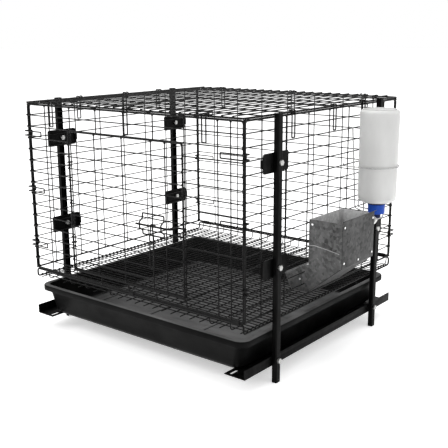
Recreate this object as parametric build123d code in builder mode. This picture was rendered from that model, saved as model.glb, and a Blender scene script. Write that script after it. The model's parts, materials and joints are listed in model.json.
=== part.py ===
"""Kennel cage: a welded-wire cage on a four-legged frame, with a front door, a lift-up roof,
a slide-out tray, a sheet-metal feeder and a hanging water bottle.

Millimetres. +Z is up and the door is at the front, towards -Y. The origin is on the ground,
under the middle of the whole object. Points are given from the cage's own centre line by at().
Crossing wires of one panel are separate solids that bite into each other at their welds.
"""

import os

from build123d import *

# Cage box, over the outside of the panels' frame wires
CAGE_W = 609.6
CAGE_D = 587.0
WALL_BOTTOM = 148.0
CELL = 25.4
WALL_CELLS = 15
WALL_TOP = WALL_BOTTOM + WALL_CELLS * CELL
FRONT_UPRIGHT_PITCH = 3.2 * CELL
SIDE_UPRIGHT_PITCH = 78.5

# Wires
FRAME_R = 2.0
MESH_R = 1.2
FLOOR_R = 1.1
CLIP_R = 1.4
WELD = 0.1
GAP = 0.3
HOOK_SLACK = 0.4
BEND = 6.0
ON_FRAME = FRAME_R + MESH_R - WELD
ON_MESH = 2 * MESH_R - WELD

# Planes of the panels' frame wires, from the cage's centre line
FRAME_X = CAGE_W / 2 - FRAME_R
FRAME_Y = CAGE_D / 2 - FRAME_R
SIDE_FRAME_Y = FRAME_Y - 2 * FRAME_R - GAP
BOTTOM_WIRE_Z = WALL_BOTTOM + FRAME_R
TOP_WIRE_Z = WALL_TOP - FRAME_R
ROOF_Z = WALL_TOP + GAP + FRAME_R
WALL_FACE_Y = FRAME_Y + ON_FRAME + MESH_R

# Floor panel
LIP_Z = WALL_BOTTOM - FRAME_R - 0.2
FLOOR_Z = 128.0
FLOOR_WIRE_INSET = 17.0
FLOOR_WIRES = 24
FLOOR_PITCH = CELL / 2
DROP_BEND = 9.0

# Door and its latch
DOOR_HALF_W = 2 * FRONT_UPRIGHT_PITCH
DOOR_BOTTOM_Z = 171.0
DOOR_TOP_Z = 477.0
DOOR_Y = -(WALL_FACE_Y + GAP + FRAME_R)
DOOR_FACE_Y = DOOR_Y - ON_FRAME - MESH_R
DOOR_MESH_Z = 194.6
DOOR_RUNGS = 11
RING_R = 1.25
RING_HEIGHTS = (232.7, 410.5)
SNAP_UPRIGHT_X = 118.1
GUIDE_R = 1.6
GUIDE_X = (58.4, 116.8)
GUIDE_Z = (287.8, 331.0)
GUIDE_FOOT = 13.0
GUIDE_BRIDGE = 6.0
GUIDE_BEND = 2.5
BOLT_R = 2.0
BOLT_Z = 308.1
BOLT_Y = -309.0
BOLT_TAIL_X = 43.5
BOLT_JOG_X = 137.5
BOLT_TIP_X = 160.4
BOLT_TIP_Y = -287.9
BOLT_BEND = 5.0
BOLT_BUTTON_R = 2.7
BOLT_BUTTON_L = 5.0
JAMB_UPRIGHT_X = 274.3
HANDLE_R = 1.4
HANDLE_X = 91.0
HANDLE_HALF_W = 5.4
HANDLE_NECK_HALF_W = 2.6
HANDLE_BOTTOM_Z = 221.0
HANDLE_BEND = 2.0

# Legs, brackets, rails
LEG_INNER_X = 307.3
LEG_DEPTH = 10.5
LEG_WIDTH = 15.5
LEG_WALL = 1.5
LEG_BEND = 3.0
LEG_Y = 197.0
LEG_TOP_Z = 535.0
BRACKET_HEIGHTS = (238.3, 442.7)
BRACKET_H = 38.0
BRACKET_T = 2.0
BRACKET_MID_Y = 2.5 * SIDE_UPRIGHT_PITCH
BRACKET_TAB_H = 16.0
BRACKET_CORNER = 5.0
CURL_CLEARANCE = 0.2
CURL_T = 1.5
SHANK_R = 3.0
SHANK_HOLE_R = 3.3
HEX_ACROSS = 10.0
HEAD_H = 4.5
NUT_H = 5.0
RAIL_BOTTOM_Z = 35.5
RAIL_H = 20.0
RAIL_FLANGE = 50.0
RAIL_T = 2.0
RAIL_FACE_X = LEG_INNER_X - GAP
RAIL_BOLT_Z = 46.5
SLOT_LENGTH = 23.0
SLOT_WIDTH = 7.0
SLOT_X = 268.0
SLOT_Y = 277.0

# Tray
TRAY_Z = RAIL_BOTTOM_Z + RAIL_T + GAP
TRAY_TOP_Z = 107.4
TRAY_MID_Y = -5.0
TRAY_T = 3.0
TRAY_RIM_W = 604.0
TRAY_RIM_D = 570.0
TRAY_RIM_CORNER = 25.0
TRAY_LIP_T = 2.5
TRAY_RIM_DROP = 12.7
RIB_XS = (-243.8, -81.3, 81.3, 243.8)
RIB_W = 12.0
RIB_H = 2.5
RIB_INSET = 10.0

# Clips
CLIP_HALF_W = 4.95
CLIP_BOTTOM_Z = 482.9
CLIP_TOP_Z = ROOF_Z + FRAME_R + HOOK_SLACK + CLIP_R
CLIP_BEND = 1.5
FRONT_CLIP_XS = (-215.9, 12.7, 215.9)
SIDE_CLIP_YS = (-139.7, 12.7, 133.4)
CORNER_CLIP_HEIGHTS = (209.0, 336.0, 463.0)
CORNER_CLIP_REACH = 50.8
CORNER_CLIP_STANDOFF = 6.35
CRIMP_T = 0.9

# Feeder
SHEET = 1.0
FEEDER_FRONT_Y = -74.4
FEEDER_BACK_Y = 52.1
HOPPER_IN_X = 305.2
HOPPER_OUT_X = 383.5
HOPPER_TOP_Z = 310.0
HOPPER_SLOPE_Z = 218.4
TROUGH_BOTTOM_Z = 153.7
TROUGH_BACK_X = 304.0
TROUGH_FRONT_X = 265.4
TROUGH_LIP = (249.7, 185.0)
HOOD_Z = 211.5
FLANGE_W = 9.0
RIM_OUT = 7.0
RIM_NECK = 5.0
RIM_RISE = 8.0
RIVET_R = 2.4
RIVET_H = 1.2
SPRING_R = 0.9
SPRING_BEND = 8.0
SPRING_STANDOFF = 1.0 + GAP

# Bottle
BOTTLE_X = 355.6
BOTTLE_Y = 115.6
BOTTLE_R = 42.0
BOTTLE_WALL = 1.5
BOTTLE_SHOULDER = 8.0
BOTTLE_FOOT = 13.0
BOTTLE_FOOT_H = 12.0
BOTTLE_TAPER = 1.0
BOTTLE_BASE_Z = 321.5
BOTTLE_TOP_Z = 520.0
NECK_R = 14.0
CAP_R = 18.5
CAP_BOTTOM_Z = 295.0
CAP_RIBS = 30
CAP_RIB_R = 0.5
CAP_RIB_H = 11.0
CAP_FLOOR_T = 2.0
NOZZLE_R = 10.0
NOZZLE_BOTTOM_Z = 286.0
TUBE_R = 4.0
TUBE_WALL = 0.8
TUBE_ELBOW_Z = 277.0
TUBE_BEND = 14.0
BALL_R = 3.0
BAND_Z = WALL_BOTTOM + 10 * CELL - 2 * MESH_R - 0.1
BAND_HOOP_R = BOTTLE_R + MESH_R + 1.3
HOLDER_HALF_W = 28.0
HOLDER_BEND = 3.0

# The object's outermost reach on each side, which puts the origin under its middle
REACH_RIGHT = BOTTLE_X + BAND_HOOP_R + MESH_R
REACH_LEFT = LEG_INNER_X + LEG_DEPTH + HEAD_H
BRIDGE_Y = BOLT_Y - BOLT_R - HOOK_SLACK - GUIDE_R
REACH_FRONT = GUIDE_R - BRIDGE_Y
REACH_BACK = WALL_FACE_Y + GAP + 2 * CLIP_R
CAGE_X = (REACH_LEFT - REACH_RIGHT) / 2
CAGE_Y = (REACH_FRONT - REACH_BACK) / 2

os.makedirs("parts", exist_ok=True)


def at(x, y, z):
    """A point at x and y from the cage's centre line, at height z above the ground."""
    return (CAGE_X + x, CAGE_Y + y, z)


def rod(start, end, radius):
    """A straight round wire between two points."""
    run = Vector(*end) - Vector(*start)
    with BuildPart() as wire:
        with BuildSketch(Plane(origin=start, z_dir=run)):
            Circle(radius)
        extrude(amount=run.length)
    return wire.part


def bent_wire(points, radius, bend, close=False):
    """A round wire along straight runs joined by bends, as one solid."""
    with BuildPart() as wire:
        with BuildLine() as path:
            FilletPolyline(*points, radius=bend, close=close)
        with BuildSketch(Plane(origin=path.line @ 0, z_dir=path.line % 0)):
            Circle(radius)
        sweep()
    return wire.part


def jointed_wire(points, radius, bend, close=False):
    """The same wire with each run and bend a solid of its own, meeting face to face.

    Collision hulls then follow the wire instead of filling the space that it encloses.
    """
    with BuildLine() as path:
        FilletPolyline(*points, radius=bend, close=close)
    pieces = []
    for edge in path.line.edges():
        with BuildPart() as run:
            with BuildSketch(Plane(origin=edge @ 0, z_dir=edge % 0)):
                Circle(radius)
            sweep(path=edge)
        pieces.append(run.part)
    return pieces


def write(name, *pieces):
    """Write one node: a single piece, or several separate solids kept apart."""
    if len(pieces) == 1:
        node = pieces[0]
        node.label = name
    else:
        node = Compound(label=name, children=list(pieces))
    export_step(node, f"parts/{name}.step")


def from_middle(count, pitch):
    """Evenly spaced offsets on both sides of zero."""
    return [(i - (count - 1) / 2) * pitch for i in range(count)]


# ---------------------------------------------------------------- panels


def frame_loop(corners):
    """A panel's rectangular frame wire through four corners, with bent corners."""
    return jointed_wire(corners, FRAME_R, BEND, close=True)


def wall_rungs():
    """Heights of a wall's horizontal wires."""
    return [WALL_BOTTOM + CELL * k for k in range(1, WALL_CELLS)]


def end_wall(side, extra_uprights=(), opening=None):
    """The front (side -1) or back (side +1) wall. An opening cuts the wires inside it."""
    y = side * FRAME_Y
    rung_y = side * (FRAME_Y + ON_FRAME)
    upright_y = rung_y - side * ON_MESH
    low, high = BOTTOM_WIRE_Z, TOP_WIRE_Z
    pieces = frame_loop(
        [at(-FRAME_X, y, low), at(FRAME_X, y, low), at(FRAME_X, y, high), at(-FRAME_X, y, high)]
    )
    half = FRAME_X + FRAME_R
    cut_x, cut_low, cut_high = opening or (0, 0, 0)
    for z in wall_rungs():
        if cut_low < z < cut_high:
            edge = cut_x - MESH_R
            pieces.append(rod(at(-half, rung_y, z), at(-edge, rung_y, z), MESH_R))
            pieces.append(rod(at(edge, rung_y, z), at(half, rung_y, z), MESH_R))
        else:
            pieces.append(rod(at(-half, rung_y, z), at(half, rung_y, z), MESH_R))
    butt = FRAME_R - WELD
    for x in from_middle(7, FRONT_UPRIGHT_PITCH) + list(extra_uprights):
        if abs(x) < cut_x - 1:
            low_end = cut_low + MESH_R
            pieces.append(rod(at(x, upright_y, low + butt), at(x, upright_y, low_end), MESH_R))
            high_end = cut_high - MESH_R
            pieces.append(rod(at(x, upright_y, high_end), at(x, upright_y, high - butt), MESH_R))
        else:
            pieces.append(rod(at(x, upright_y, low + butt), at(x, upright_y, high - butt), MESH_R))
    return pieces


def side_wall(side, cut=None):
    """The left (side -1) or right (side +1) wall. A cut (y from, y to, height) lets the feeder in."""
    x = side * FRAME_X
    rung_x = side * (FRAME_X - ON_FRAME)
    upright_x = rung_x + side * ON_MESH
    low, high, half = BOTTOM_WIRE_Z, TOP_WIRE_Z, SIDE_FRAME_Y
    pieces = frame_loop(
        [at(x, -half, low), at(x, half, low), at(x, half, high), at(x, -half, high)]
    )
    end = half + FRAME_R
    for z in wall_rungs():
        if cut and z < cut[2] - 1:
            pieces.append(rod(at(rung_x, -end, z), at(rung_x, cut[0], z), MESH_R))
            pieces.append(rod(at(rung_x, cut[1], z), at(rung_x, end, z), MESH_R))
        else:
            pieces.append(rod(at(rung_x, -end, z), at(rung_x, end, z), MESH_R))
    butt = FRAME_R - WELD
    for y in from_middle(7, SIDE_UPRIGHT_PITCH):
        foot = cut[2] - MESH_R if cut and cut[0] + 1 < y < cut[1] - 1 else low + butt
        pieces.append(rod(at(upright_x, y, foot), at(upright_x, y, high - butt), MESH_R))
    return pieces


DOOR_OPENING = (DOOR_HALF_W, WALL_BOTTOM + CELL, WALL_BOTTOM + 13 * CELL)
write("front_wall", *end_wall(-1, extra_uprights=(JAMB_UPRIGHT_X,), opening=DOOR_OPENING))
write("back_wall", *end_wall(1))
write("left_wall", *side_wall(-1))
FEEDER_CUT = (-SIDE_UPRIGHT_PITCH - MESH_R, FEEDER_BACK_Y + 3.0, WALL_BOTTOM + 3 * CELL)
write("right_wall", *side_wall(1, cut=FEEDER_CUT))


def roof_panel():
    """The roof: front-to-back wires every cell on top of wider-spaced cross wires."""
    z = ROOF_Z
    pieces = frame_loop(
        [
            at(-FRAME_X, -FRAME_Y, z),
            at(FRAME_X, -FRAME_Y, z),
            at(FRAME_X, FRAME_Y, z),
            at(-FRAME_X, FRAME_Y, z),
        ]
    )
    top_z = z + ON_FRAME
    end = FRAME_Y + FRAME_R
    for x in from_middle(23, CELL):
        pieces.append(rod(at(x, -end, top_z), at(x, end, top_z), MESH_R))
    cross_z = top_z - ON_MESH
    reach = FRAME_X - FRAME_R + WELD
    for y in from_middle(7, SIDE_UPRIGHT_PITCH):
        pieces.append(rod(at(-reach, y, cross_z), at(reach, y, cross_z), MESH_R))
    return pieces


write("roof_panel", *roof_panel())


def floor_panel():
    """The floor grid. Its long wires drop from a lip wire under the front and back walls."""
    cross_z = FLOOR_Z + MESH_R + FLOOR_R - WELD
    side_z = cross_z - FRAME_R - FLOOR_R + WELD
    rim = [
        at(-FRAME_X, -FRAME_Y, LIP_Z),
        at(FRAME_X, -FRAME_Y, LIP_Z),
        at(FRAME_X, -FRAME_Y, side_z),
        at(FRAME_X, FRAME_Y, side_z),
        at(FRAME_X, FRAME_Y, LIP_Z),
        at(-FRAME_X, FRAME_Y, LIP_Z),
        at(-FRAME_X, FRAME_Y, side_z),
        at(-FRAME_X, -FRAME_Y, side_z),
    ]
    pieces = jointed_wire(rim, FRAME_R, BEND, close=True)
    straight = FRAME_Y - DROP_BEND - 1
    drop_top = LIP_Z - FRAME_R + WELD
    for i in range(FLOOR_WIRES):
        x = -CAGE_W / 2 + FLOOR_WIRE_INSET + i * CELL
        pieces.append(rod(at(x, -straight, FLOOR_Z), at(x, straight, FLOOR_Z), MESH_R))
        for side in (-1, 1):
            bend = [
                at(x, side * straight, FLOOR_Z),
                at(x, side * FRAME_Y, FLOOR_Z),
                at(x, side * FRAME_Y, drop_top),
            ]
            pieces.append(bent_wire(bend, MESH_R, DROP_BEND))
    end = FRAME_X + FRAME_R
    for y in from_middle(45, FLOOR_PITCH):
        pieces.append(rod(at(-end, y, cross_z), at(end, y, cross_z), FLOOR_R))
    return pieces


write("floor_panel", *floor_panel())


def crimp(x, side, length):
    """A sleeve pressed round a wall's bottom wire and the floor's lip wire."""
    outer_r = FRAME_R + CRIMP_T
    spread = BOTTOM_WIRE_Z - LIP_Z
    middle = (BOTTOM_WIRE_Z + LIP_Z) / 2
    plane = Plane(origin=at(x - length / 2, side * FRAME_Y, middle), x_dir=(0, 0, 1), z_dir=(1, 0, 0))
    with BuildPart() as sleeve:
        with BuildSketch(plane):
            SlotCenterToCenter(spread, 2 * outer_r)
            SlotCenterToCenter(spread, 2 * (FRAME_R + 0.01), mode=Mode.SUBTRACT)
        extrude(amount=length)
    return sleeve.part


write(
    "floor_crimps",
    crimp(285.5, -1, 16),
    crimp(8.6, -1, 13),
    crimp(-275.0, 1, 16),
    crimp(-21.0, 1, 16),
    crimp(284.0, 1, 16),
)

# ---------------------------------------------------------------- door and latch


def door_panel():
    """The door: a frame wire with its own mesh on the outside."""
    left, right = -DOOR_HALF_W, DOOR_HALF_W
    low, high = DOOR_BOTTOM_Z, DOOR_TOP_Z
    pieces = frame_loop(
        [
            at(left, DOOR_Y, low),
            at(right, DOOR_Y, low),
            at(right, DOOR_Y, high),
            at(left, DOOR_Y, high),
        ]
    )
    rung_y = DOOR_Y - ON_FRAME
    for k in range(DOOR_RUNGS):
        z = DOOR_MESH_Z + k * CELL
        ends = (at(left - FRAME_R, rung_y, z), at(right + FRAME_R, rung_y, z))
        pieces.append(rod(*ends, MESH_R))
    upright_y = rung_y + ON_MESH
    butt = FRAME_R - WELD
    for x in (-FRONT_UPRIGHT_PITCH, 0, FRONT_UPRIGHT_PITCH, SNAP_UPRIGHT_X):
        pieces.append(rod(at(x, upright_y, low + butt), at(x, upright_y, high - butt), MESH_R))
    return pieces


write("door_panel", *door_panel())


def hinge_ring(z):
    """A closed wire ring round the door's edge wire and the wall's upright behind it."""
    upright_y = -(FRAME_Y + ON_FRAME - ON_MESH)
    half = FRAME_R + GAP + RING_R
    front = DOOR_Y - half
    back = upright_y + MESH_R + RING_R - 0.05
    left, right = -DOOR_HALF_W - half, -DOOR_HALF_W + half
    corners = [at(left, front, z), at(right, front, z), at(right, back, z), at(left, back, z)]
    return bent_wire(corners, RING_R, half - 0.05, close=True)


write("door_hinge_rings", *[hinge_ring(z) for z in RING_HEIGHTS])


def latch_guide():
    """A wire loop welded to the door, bulged out over the bolt on both sides."""
    flat_y = DOOR_FACE_Y - GUIDE_R + WELD
    rise = []
    for x, order in ((GUIDE_X[1], 1), (GUIDE_X[0], -1)):
        steps = [
            at(x, flat_y, BOLT_Z - GUIDE_FOOT),
            at(x, BRIDGE_Y, BOLT_Z - GUIDE_BRIDGE),
            at(x, BRIDGE_Y, BOLT_Z + GUIDE_BRIDGE),
            at(x, flat_y, BOLT_Z + GUIDE_FOOT),
        ]
        rise.append(steps[::order])
    low, high = GUIDE_Z
    path = [
        at(GUIDE_X[0], flat_y, low),
        at(GUIDE_X[1], flat_y, low),
        *rise[0],
        at(GUIDE_X[1], flat_y, high),
        at(GUIDE_X[0], flat_y, high),
        *rise[1],
    ]
    return bent_wire(path, GUIDE_R, GUIDE_BEND, close=True)


write("latch_guide", latch_guide())


def latch_bolt():
    """The sliding bolt, jogged inwards so that its tip goes behind the wall's upright."""
    path = [
        at(BOLT_TAIL_X, BOLT_Y, BOLT_Z),
        at(BOLT_JOG_X, BOLT_Y, BOLT_Z),
        at(BOLT_JOG_X, BOLT_TIP_Y, BOLT_Z),
        at(BOLT_TIP_X, BOLT_TIP_Y, BOLT_Z),
    ]
    with BuildPart() as bolt:
        with BuildLine() as line:
            FilletPolyline(*path, radius=BOLT_BEND)
        with BuildSketch(Plane(origin=line.line @ 0, z_dir=line.line % 0)):
            Circle(BOLT_R)
        sweep()
        with BuildSketch(Plane(origin=path[3], z_dir=(-1, 0, 0))):
            Circle(BOLT_BUTTON_R)
        extrude(amount=BOLT_BUTTON_L)
    return bolt.part


write("latch_bolt", latch_bolt())


def latch_handle():
    """A narrow wire loop hooked over the bolt, hanging in front of the door to be pulled."""
    front = BOLT_Y - BOLT_R - HOOK_SLACK - HANDLE_R
    back = BOLT_Y + BOLT_R + HOOK_SLACK + HANDLE_R
    top = BOLT_Z + BOLT_R + HOOK_SLACK + HANDLE_R
    left, right = HANDLE_X - HANDLE_HALF_W, HANDLE_X + HANDLE_HALF_W
    neck_left, neck_right = HANDLE_X - HANDLE_NECK_HALF_W, HANDLE_X + HANDLE_NECK_HALF_W
    hook_end = BOLT_Z - 1.5
    path = [
        at(left, front, HANDLE_BOTTOM_Z),
        at(right, front, HANDLE_BOTTOM_Z),
        at(right, front, GUIDE_Z[0]),
        at(neck_right, front, BOLT_Z - 4),
        at(neck_right, front, top),
        at(neck_right, back, top),
        at(neck_right, back, hook_end),
        at(neck_left, back, hook_end),
        at(neck_left, back, top),
        at(neck_left, front, top),
        at(neck_left, front, BOLT_Z - 4),
        at(left, front, GUIDE_Z[0]),
    ]
    return bent_wire(path, HANDLE_R, HANDLE_BEND, close=True)


write("latch_handle", latch_handle())

# ---------------------------------------------------------------- legs, brackets, rails


def leg(side, y):
    """A U-shaped leg with its web outwards, drilled for the two brackets and the rail."""
    inner = side * LEG_INNER_X
    outer = side * (LEG_INNER_X + LEG_DEPTH)
    half = LEG_WIDTH / 2
    with BuildPart() as channel:
        with BuildSketch():
            with BuildLine():
                FilletPolyline(
                    at(inner, y - half, 0)[:2],
                    at(outer, y - half, 0)[:2],
                    at(outer, y + half, 0)[:2],
                    at(inner, y + half, 0)[:2],
                    radius=LEG_BEND,
                )
                Line(at(inner, y + half, 0)[:2], at(inner, y - half, 0)[:2])
            make_face()
            with BuildLine():
                FilletPolyline(
                    at(inner - side, y - half + LEG_WALL, 0)[:2],
                    at(outer - side * LEG_WALL, y - half + LEG_WALL, 0)[:2],
                    at(outer - side * LEG_WALL, y + half - LEG_WALL, 0)[:2],
                    at(inner - side, y + half - LEG_WALL, 0)[:2],
                    radius=LEG_BEND - LEG_WALL,
                )
                Line(
                    at(inner - side, y + half - LEG_WALL, 0)[:2],
                    at(inner - side, y - half + LEG_WALL, 0)[:2],
                )
            make_face(mode=Mode.SUBTRACT)
        extrude(amount=LEG_TOP_Z)
        for z in (RAIL_BOLT_Z, *BRACKET_HEIGHTS):
            with BuildSketch(Plane(origin=at(outer + side, y, z), z_dir=(-side, 0, 0))):
                Circle(SHANK_HOLE_R)
            extrude(amount=LEG_WALL + 2, mode=Mode.SUBTRACT)
    return channel.part


LEG_PLACES = {
    "front_left": (-1, -LEG_Y),
    "front_right": (1, -LEG_Y),
    "back_left": (-1, LEG_Y),
    "back_right": (1, LEG_Y),
}
for place, (side, y) in LEG_PLACES.items():
    write(f"{place}_leg", leg(side, y))


def bracket(side, y_side, z):
    """A plate behind a leg, with a tab at each end curled round a wall upright."""
    inner = side * (LEG_INNER_X - GAP - BRACKET_T)
    middle_y = y_side * BRACKET_MID_Y
    wire_x = side * (FRAME_X - ON_FRAME + ON_MESH)
    curl_r = MESH_R + CURL_CLEARANCE
    with BuildPart() as plate:
        with BuildSketch(Plane(origin=at(inner, middle_y, z), x_dir=(0, 1, 0), z_dir=(side, 0, 0))):
            RectangleRounded(SIDE_UPRIGHT_PITCH + 3.0, BRACKET_H, BRACKET_CORNER)
        extrude(amount=BRACKET_T)
        for end in (-1, 1):
            wire_y = middle_y + end * SIDE_UPRIGHT_PITCH / 2
            with BuildSketch(Plane(origin=at(wire_x, wire_y, z - BRACKET_TAB_H / 2))):
                Circle(curl_r + CURL_T)
                with Locations((side * 2.2, -end * 0.7)):
                    Rectangle(2.4, 3.2)
                Circle(curl_r, mode=Mode.SUBTRACT)
                with Locations((-side * 2.5, -end * 2.5)):
                    Rectangle(5.0, 5.0, mode=Mode.SUBTRACT)
            extrude(amount=BRACKET_TAB_H)
        with BuildSketch(
            Plane(origin=at(inner - side, y_side * LEG_Y, z), x_dir=(0, 1, 0), z_dir=(side, 0, 0))
        ):
            Circle(SHANK_HOLE_R)
        extrude(amount=BRACKET_T + 2, mode=Mode.SUBTRACT)
    return plate.part


for place, (side, y) in LEG_PLACES.items():
    for level, z in zip(("lower", "upper"), BRACKET_HEIGHTS):
        y_side = 1 if y > 0 else -1
        write(f"{place}_{level}_bracket", bracket(side, y_side, z))


def hex_bolt(side, y, z, grip_x):
    """A hexagon-head bolt through a leg's web, its shank ending at grip_x."""
    web = LEG_INNER_X + LEG_DEPTH
    with BuildPart() as bolt:
        with BuildSketch(Plane(origin=at(side * web, y, z), x_dir=(0, 1, 0), z_dir=(side, 0, 0))):
            RegularPolygon(HEX_ACROSS / 2, 6, major_radius=False)
        extrude(amount=HEAD_H)
        chamfer(bolt.faces().sort_by(Axis.X)[-1 if side > 0 else 0].edges(), 0.6)
        with BuildSketch(Plane(origin=at(side * web, y, z), z_dir=(-side, 0, 0))):
            Circle(SHANK_R)
        extrude(amount=web - grip_x)
    return bolt.part


def hex_nut(side, y, z, seat_x):
    """A nut on the inside of the plate or rail that a bolt clamps."""
    with BuildPart() as nut:
        with BuildSketch(Plane(origin=at(side * seat_x, y, z), x_dir=(0, 1, 0), z_dir=(-side, 0, 0))):
            RegularPolygon(HEX_ACROSS / 2, 6, major_radius=False)
            Circle(SHANK_R, mode=Mode.SUBTRACT)
        extrude(amount=NUT_H)
    return nut.part


plate_x = LEG_INNER_X - GAP - BRACKET_T
rail_x = RAIL_FACE_X - RAIL_T
bracket_spots = [(side, y, z) for side, y in LEG_PLACES.values() for z in BRACKET_HEIGHTS]
write("bracket_bolts", *[hex_bolt(*spot, plate_x - NUT_H - 1) for spot in bracket_spots])
write("bracket_nuts", *[hex_nut(*spot, plate_x) for spot in bracket_spots])
rail_spots = [(side, y, RAIL_BOLT_Z) for side, y in LEG_PLACES.values()]
write("rail_bolts", *[hex_bolt(*spot, rail_x - NUT_H - 1) for spot in rail_spots])
write("rail_nuts", *[hex_nut(*spot, rail_x) for spot in rail_spots])


def rail(side):
    """An angle rail under one side, which ties two legs and carries the tray."""
    face = side * RAIL_FACE_X
    length = CAGE_D
    with BuildPart() as angle:
        with BuildSketch(Plane(origin=at(0, -length / 2, 0), x_dir=(1, 0, 0), z_dir=(0, 1, 0))):
            with BuildLine():
                Polyline(
                    (face, -RAIL_BOTTOM_Z),
                    (face - side * RAIL_FLANGE, -RAIL_BOTTOM_Z),
                    (face - side * RAIL_FLANGE, -RAIL_BOTTOM_Z - RAIL_T),
                    (face - side * RAIL_T, -RAIL_BOTTOM_Z - RAIL_T),
                    (face - side * RAIL_T, -RAIL_BOTTOM_Z - RAIL_H),
                    (face, -RAIL_BOTTOM_Z - RAIL_H),
                    close=True,
                )
            make_face()
        extrude(amount=length)
        for y in (-LEG_Y, LEG_Y):
            with BuildSketch(Plane(origin=at(face + side, y, RAIL_BOLT_Z), z_dir=(-side, 0, 0))):
                Circle(SHANK_HOLE_R)
            extrude(amount=RAIL_T + 2, mode=Mode.SUBTRACT)
        with BuildSketch(Plane(origin=at(side * SLOT_X, 0, RAIL_BOTTOM_Z - 1))):
            with Locations((0, -SLOT_Y), (0, SLOT_Y)):
                SlotOverall(SLOT_LENGTH, SLOT_WIDTH, rotation=90)
        extrude(amount=RAIL_T + 2, mode=Mode.SUBTRACT)
    return angle.part


write("left_rail", rail(-1))
write("right_rail", rail(1))

# ---------------------------------------------------------------- tray

# Width, depth, corner radius and height of the tray's outside, from its base to its rim
TRAY_SECTIONS = (
    (544.0, 520.0, 22.0, TRAY_Z),
    (560.0, 532.0, 22.0, TRAY_Z + 8),
    (582.0, 550.0, 18.0, TRAY_TOP_Z),
)


def tray_hull(grow, base, top):
    """The tray's tapering body, made larger or smaller than its outside."""
    with BuildPart() as body:
        for w, d, r, z in TRAY_SECTIONS:
            with BuildSketch(Plane(origin=at(0, TRAY_MID_Y, z))):
                RectangleRounded(w + 2 * grow, d + 2 * grow, r + grow)
        loft(ruled=True)
        split(bisect_by=Plane(origin=at(0, 0, base)), keep=Keep.TOP)
        split(bisect_by=Plane(origin=at(0, 0, top)), keep=Keep.BOTTOM)
    return body.part


def tray():
    """A one-piece plastic pan with a turned-down rim and shallow floor ribs, front to back."""
    inside = tray_hull(-TRAY_T, TRAY_Z + TRAY_T, TRAY_TOP_Z)
    with BuildPart() as pan:
        add(tray_hull(0, TRAY_Z, TRAY_TOP_Z))
        with BuildSketch(Plane(origin=at(0, TRAY_MID_Y, TRAY_TOP_Z - TRAY_T))):
            RectangleRounded(TRAY_RIM_W, TRAY_RIM_D, TRAY_RIM_CORNER)
        extrude(amount=TRAY_T)
        with BuildSketch(Plane(origin=at(0, TRAY_MID_Y, TRAY_TOP_Z - TRAY_RIM_DROP))):
            RectangleRounded(TRAY_RIM_W, TRAY_RIM_D, TRAY_RIM_CORNER)
            RectangleRounded(
                TRAY_RIM_W - 2 * TRAY_LIP_T,
                TRAY_RIM_D - 2 * TRAY_LIP_T,
                TRAY_RIM_CORNER - TRAY_LIP_T,
                mode=Mode.SUBTRACT,
            )
        extrude(amount=TRAY_RIM_DROP)
        add(inside, mode=Mode.SUBTRACT)
        for x in RIB_XS:
            with BuildSketch(Plane(origin=at(x, TRAY_MID_Y, TRAY_Z + TRAY_T))):
                SlotOverall(TRAY_SECTIONS[0][1] - 2 * RIB_INSET, RIB_W, rotation=90)
            extrude(amount=RIB_H)
    return pan.part


write("tray", tray())

# ---------------------------------------------------------------- clips


def top_clip(along_x, place, side):
    """A wire loop hooked over an edge of the roof and hanging down the wall outside.

    along_x says that the edge runs along X, place is the clip's middle along the edge, and
    side is -1 or +1 for the edge on the low or high side of the other axis.
    """
    edge = FRAME_Y if along_x else FRAME_X
    face = WALL_FACE_Y if along_x else CAGE_W / 2
    outside = side * (face + GAP + CLIP_R)
    inside = side * (edge - FRAME_R - HOOK_SLACK - CLIP_R)
    hook_end = ROOF_Z + 0.6
    left, right = place - CLIP_HALF_W, place + CLIP_HALF_W
    path = [
        (left, outside, CLIP_BOTTOM_Z),
        (right, outside, CLIP_BOTTOM_Z),
        (right, outside, CLIP_TOP_Z),
        (right, inside, CLIP_TOP_Z),
        (right, inside, hook_end),
        (left, inside, hook_end),
        (left, inside, CLIP_TOP_Z),
        (left, outside, CLIP_TOP_Z),
    ]
    points = [at(u, v, z) if along_x else at(v, u, z) for u, v, z in path]
    return jointed_wire(points, CLIP_R, CLIP_BEND, close=True)


for name, x in zip(("left", "middle", "right"), FRONT_CLIP_XS):
    write(f"front_{name}_clip", *top_clip(True, x, -1))
for name, y in zip(("front", "middle", "back"), SIDE_CLIP_YS):
    write(f"left_{name}_clip", *top_clip(False, y, -1))
    write(f"right_{name}_clip", *top_clip(False, y, 1))
write("roof_hinge_clips", *[piece for x in FRONT_CLIP_XS for piece in top_clip(True, x, 1)])


def corner_clip(x_side, y_side, z):
    """A wire loop along an end wall that hooks round the corner onto the side wall."""
    face = y_side * (WALL_FACE_Y + GAP + CLIP_R)
    outside = x_side * (CAGE_W / 2 + CORNER_CLIP_STANDOFF - CLIP_R)
    behind = y_side * (SIDE_FRAME_Y - FRAME_R - GAP - CLIP_R)
    start = x_side * (CAGE_W / 2 - CORNER_CLIP_REACH)
    hook_end = x_side * (FRAME_X - 0.5)
    low, high = z - CLIP_HALF_W, z + CLIP_HALF_W
    path = [
        at(start, face, high),
        at(start, face, low),
        at(outside, face, low),
        at(outside, behind, low),
        at(hook_end, behind, low),
        at(hook_end, behind, high),
        at(outside, behind, high),
        at(outside, face, high),
    ]
    return bent_wire(path, CLIP_R, CLIP_BEND, close=True)


for place, (x_side, y) in LEG_PLACES.items():
    y_side = 1 if y > 0 else -1
    clips = [corner_clip(x_side, y_side, z) for z in CORNER_CLIP_HEIGHTS]
    write(f"{place}_corner_clips", *clips)

# ---------------------------------------------------------------- feeder


def hopper_sketch_point(x, z):
    """A point of the feeder's side outline, in the plane of its side plates."""
    return (x, -z)


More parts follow.
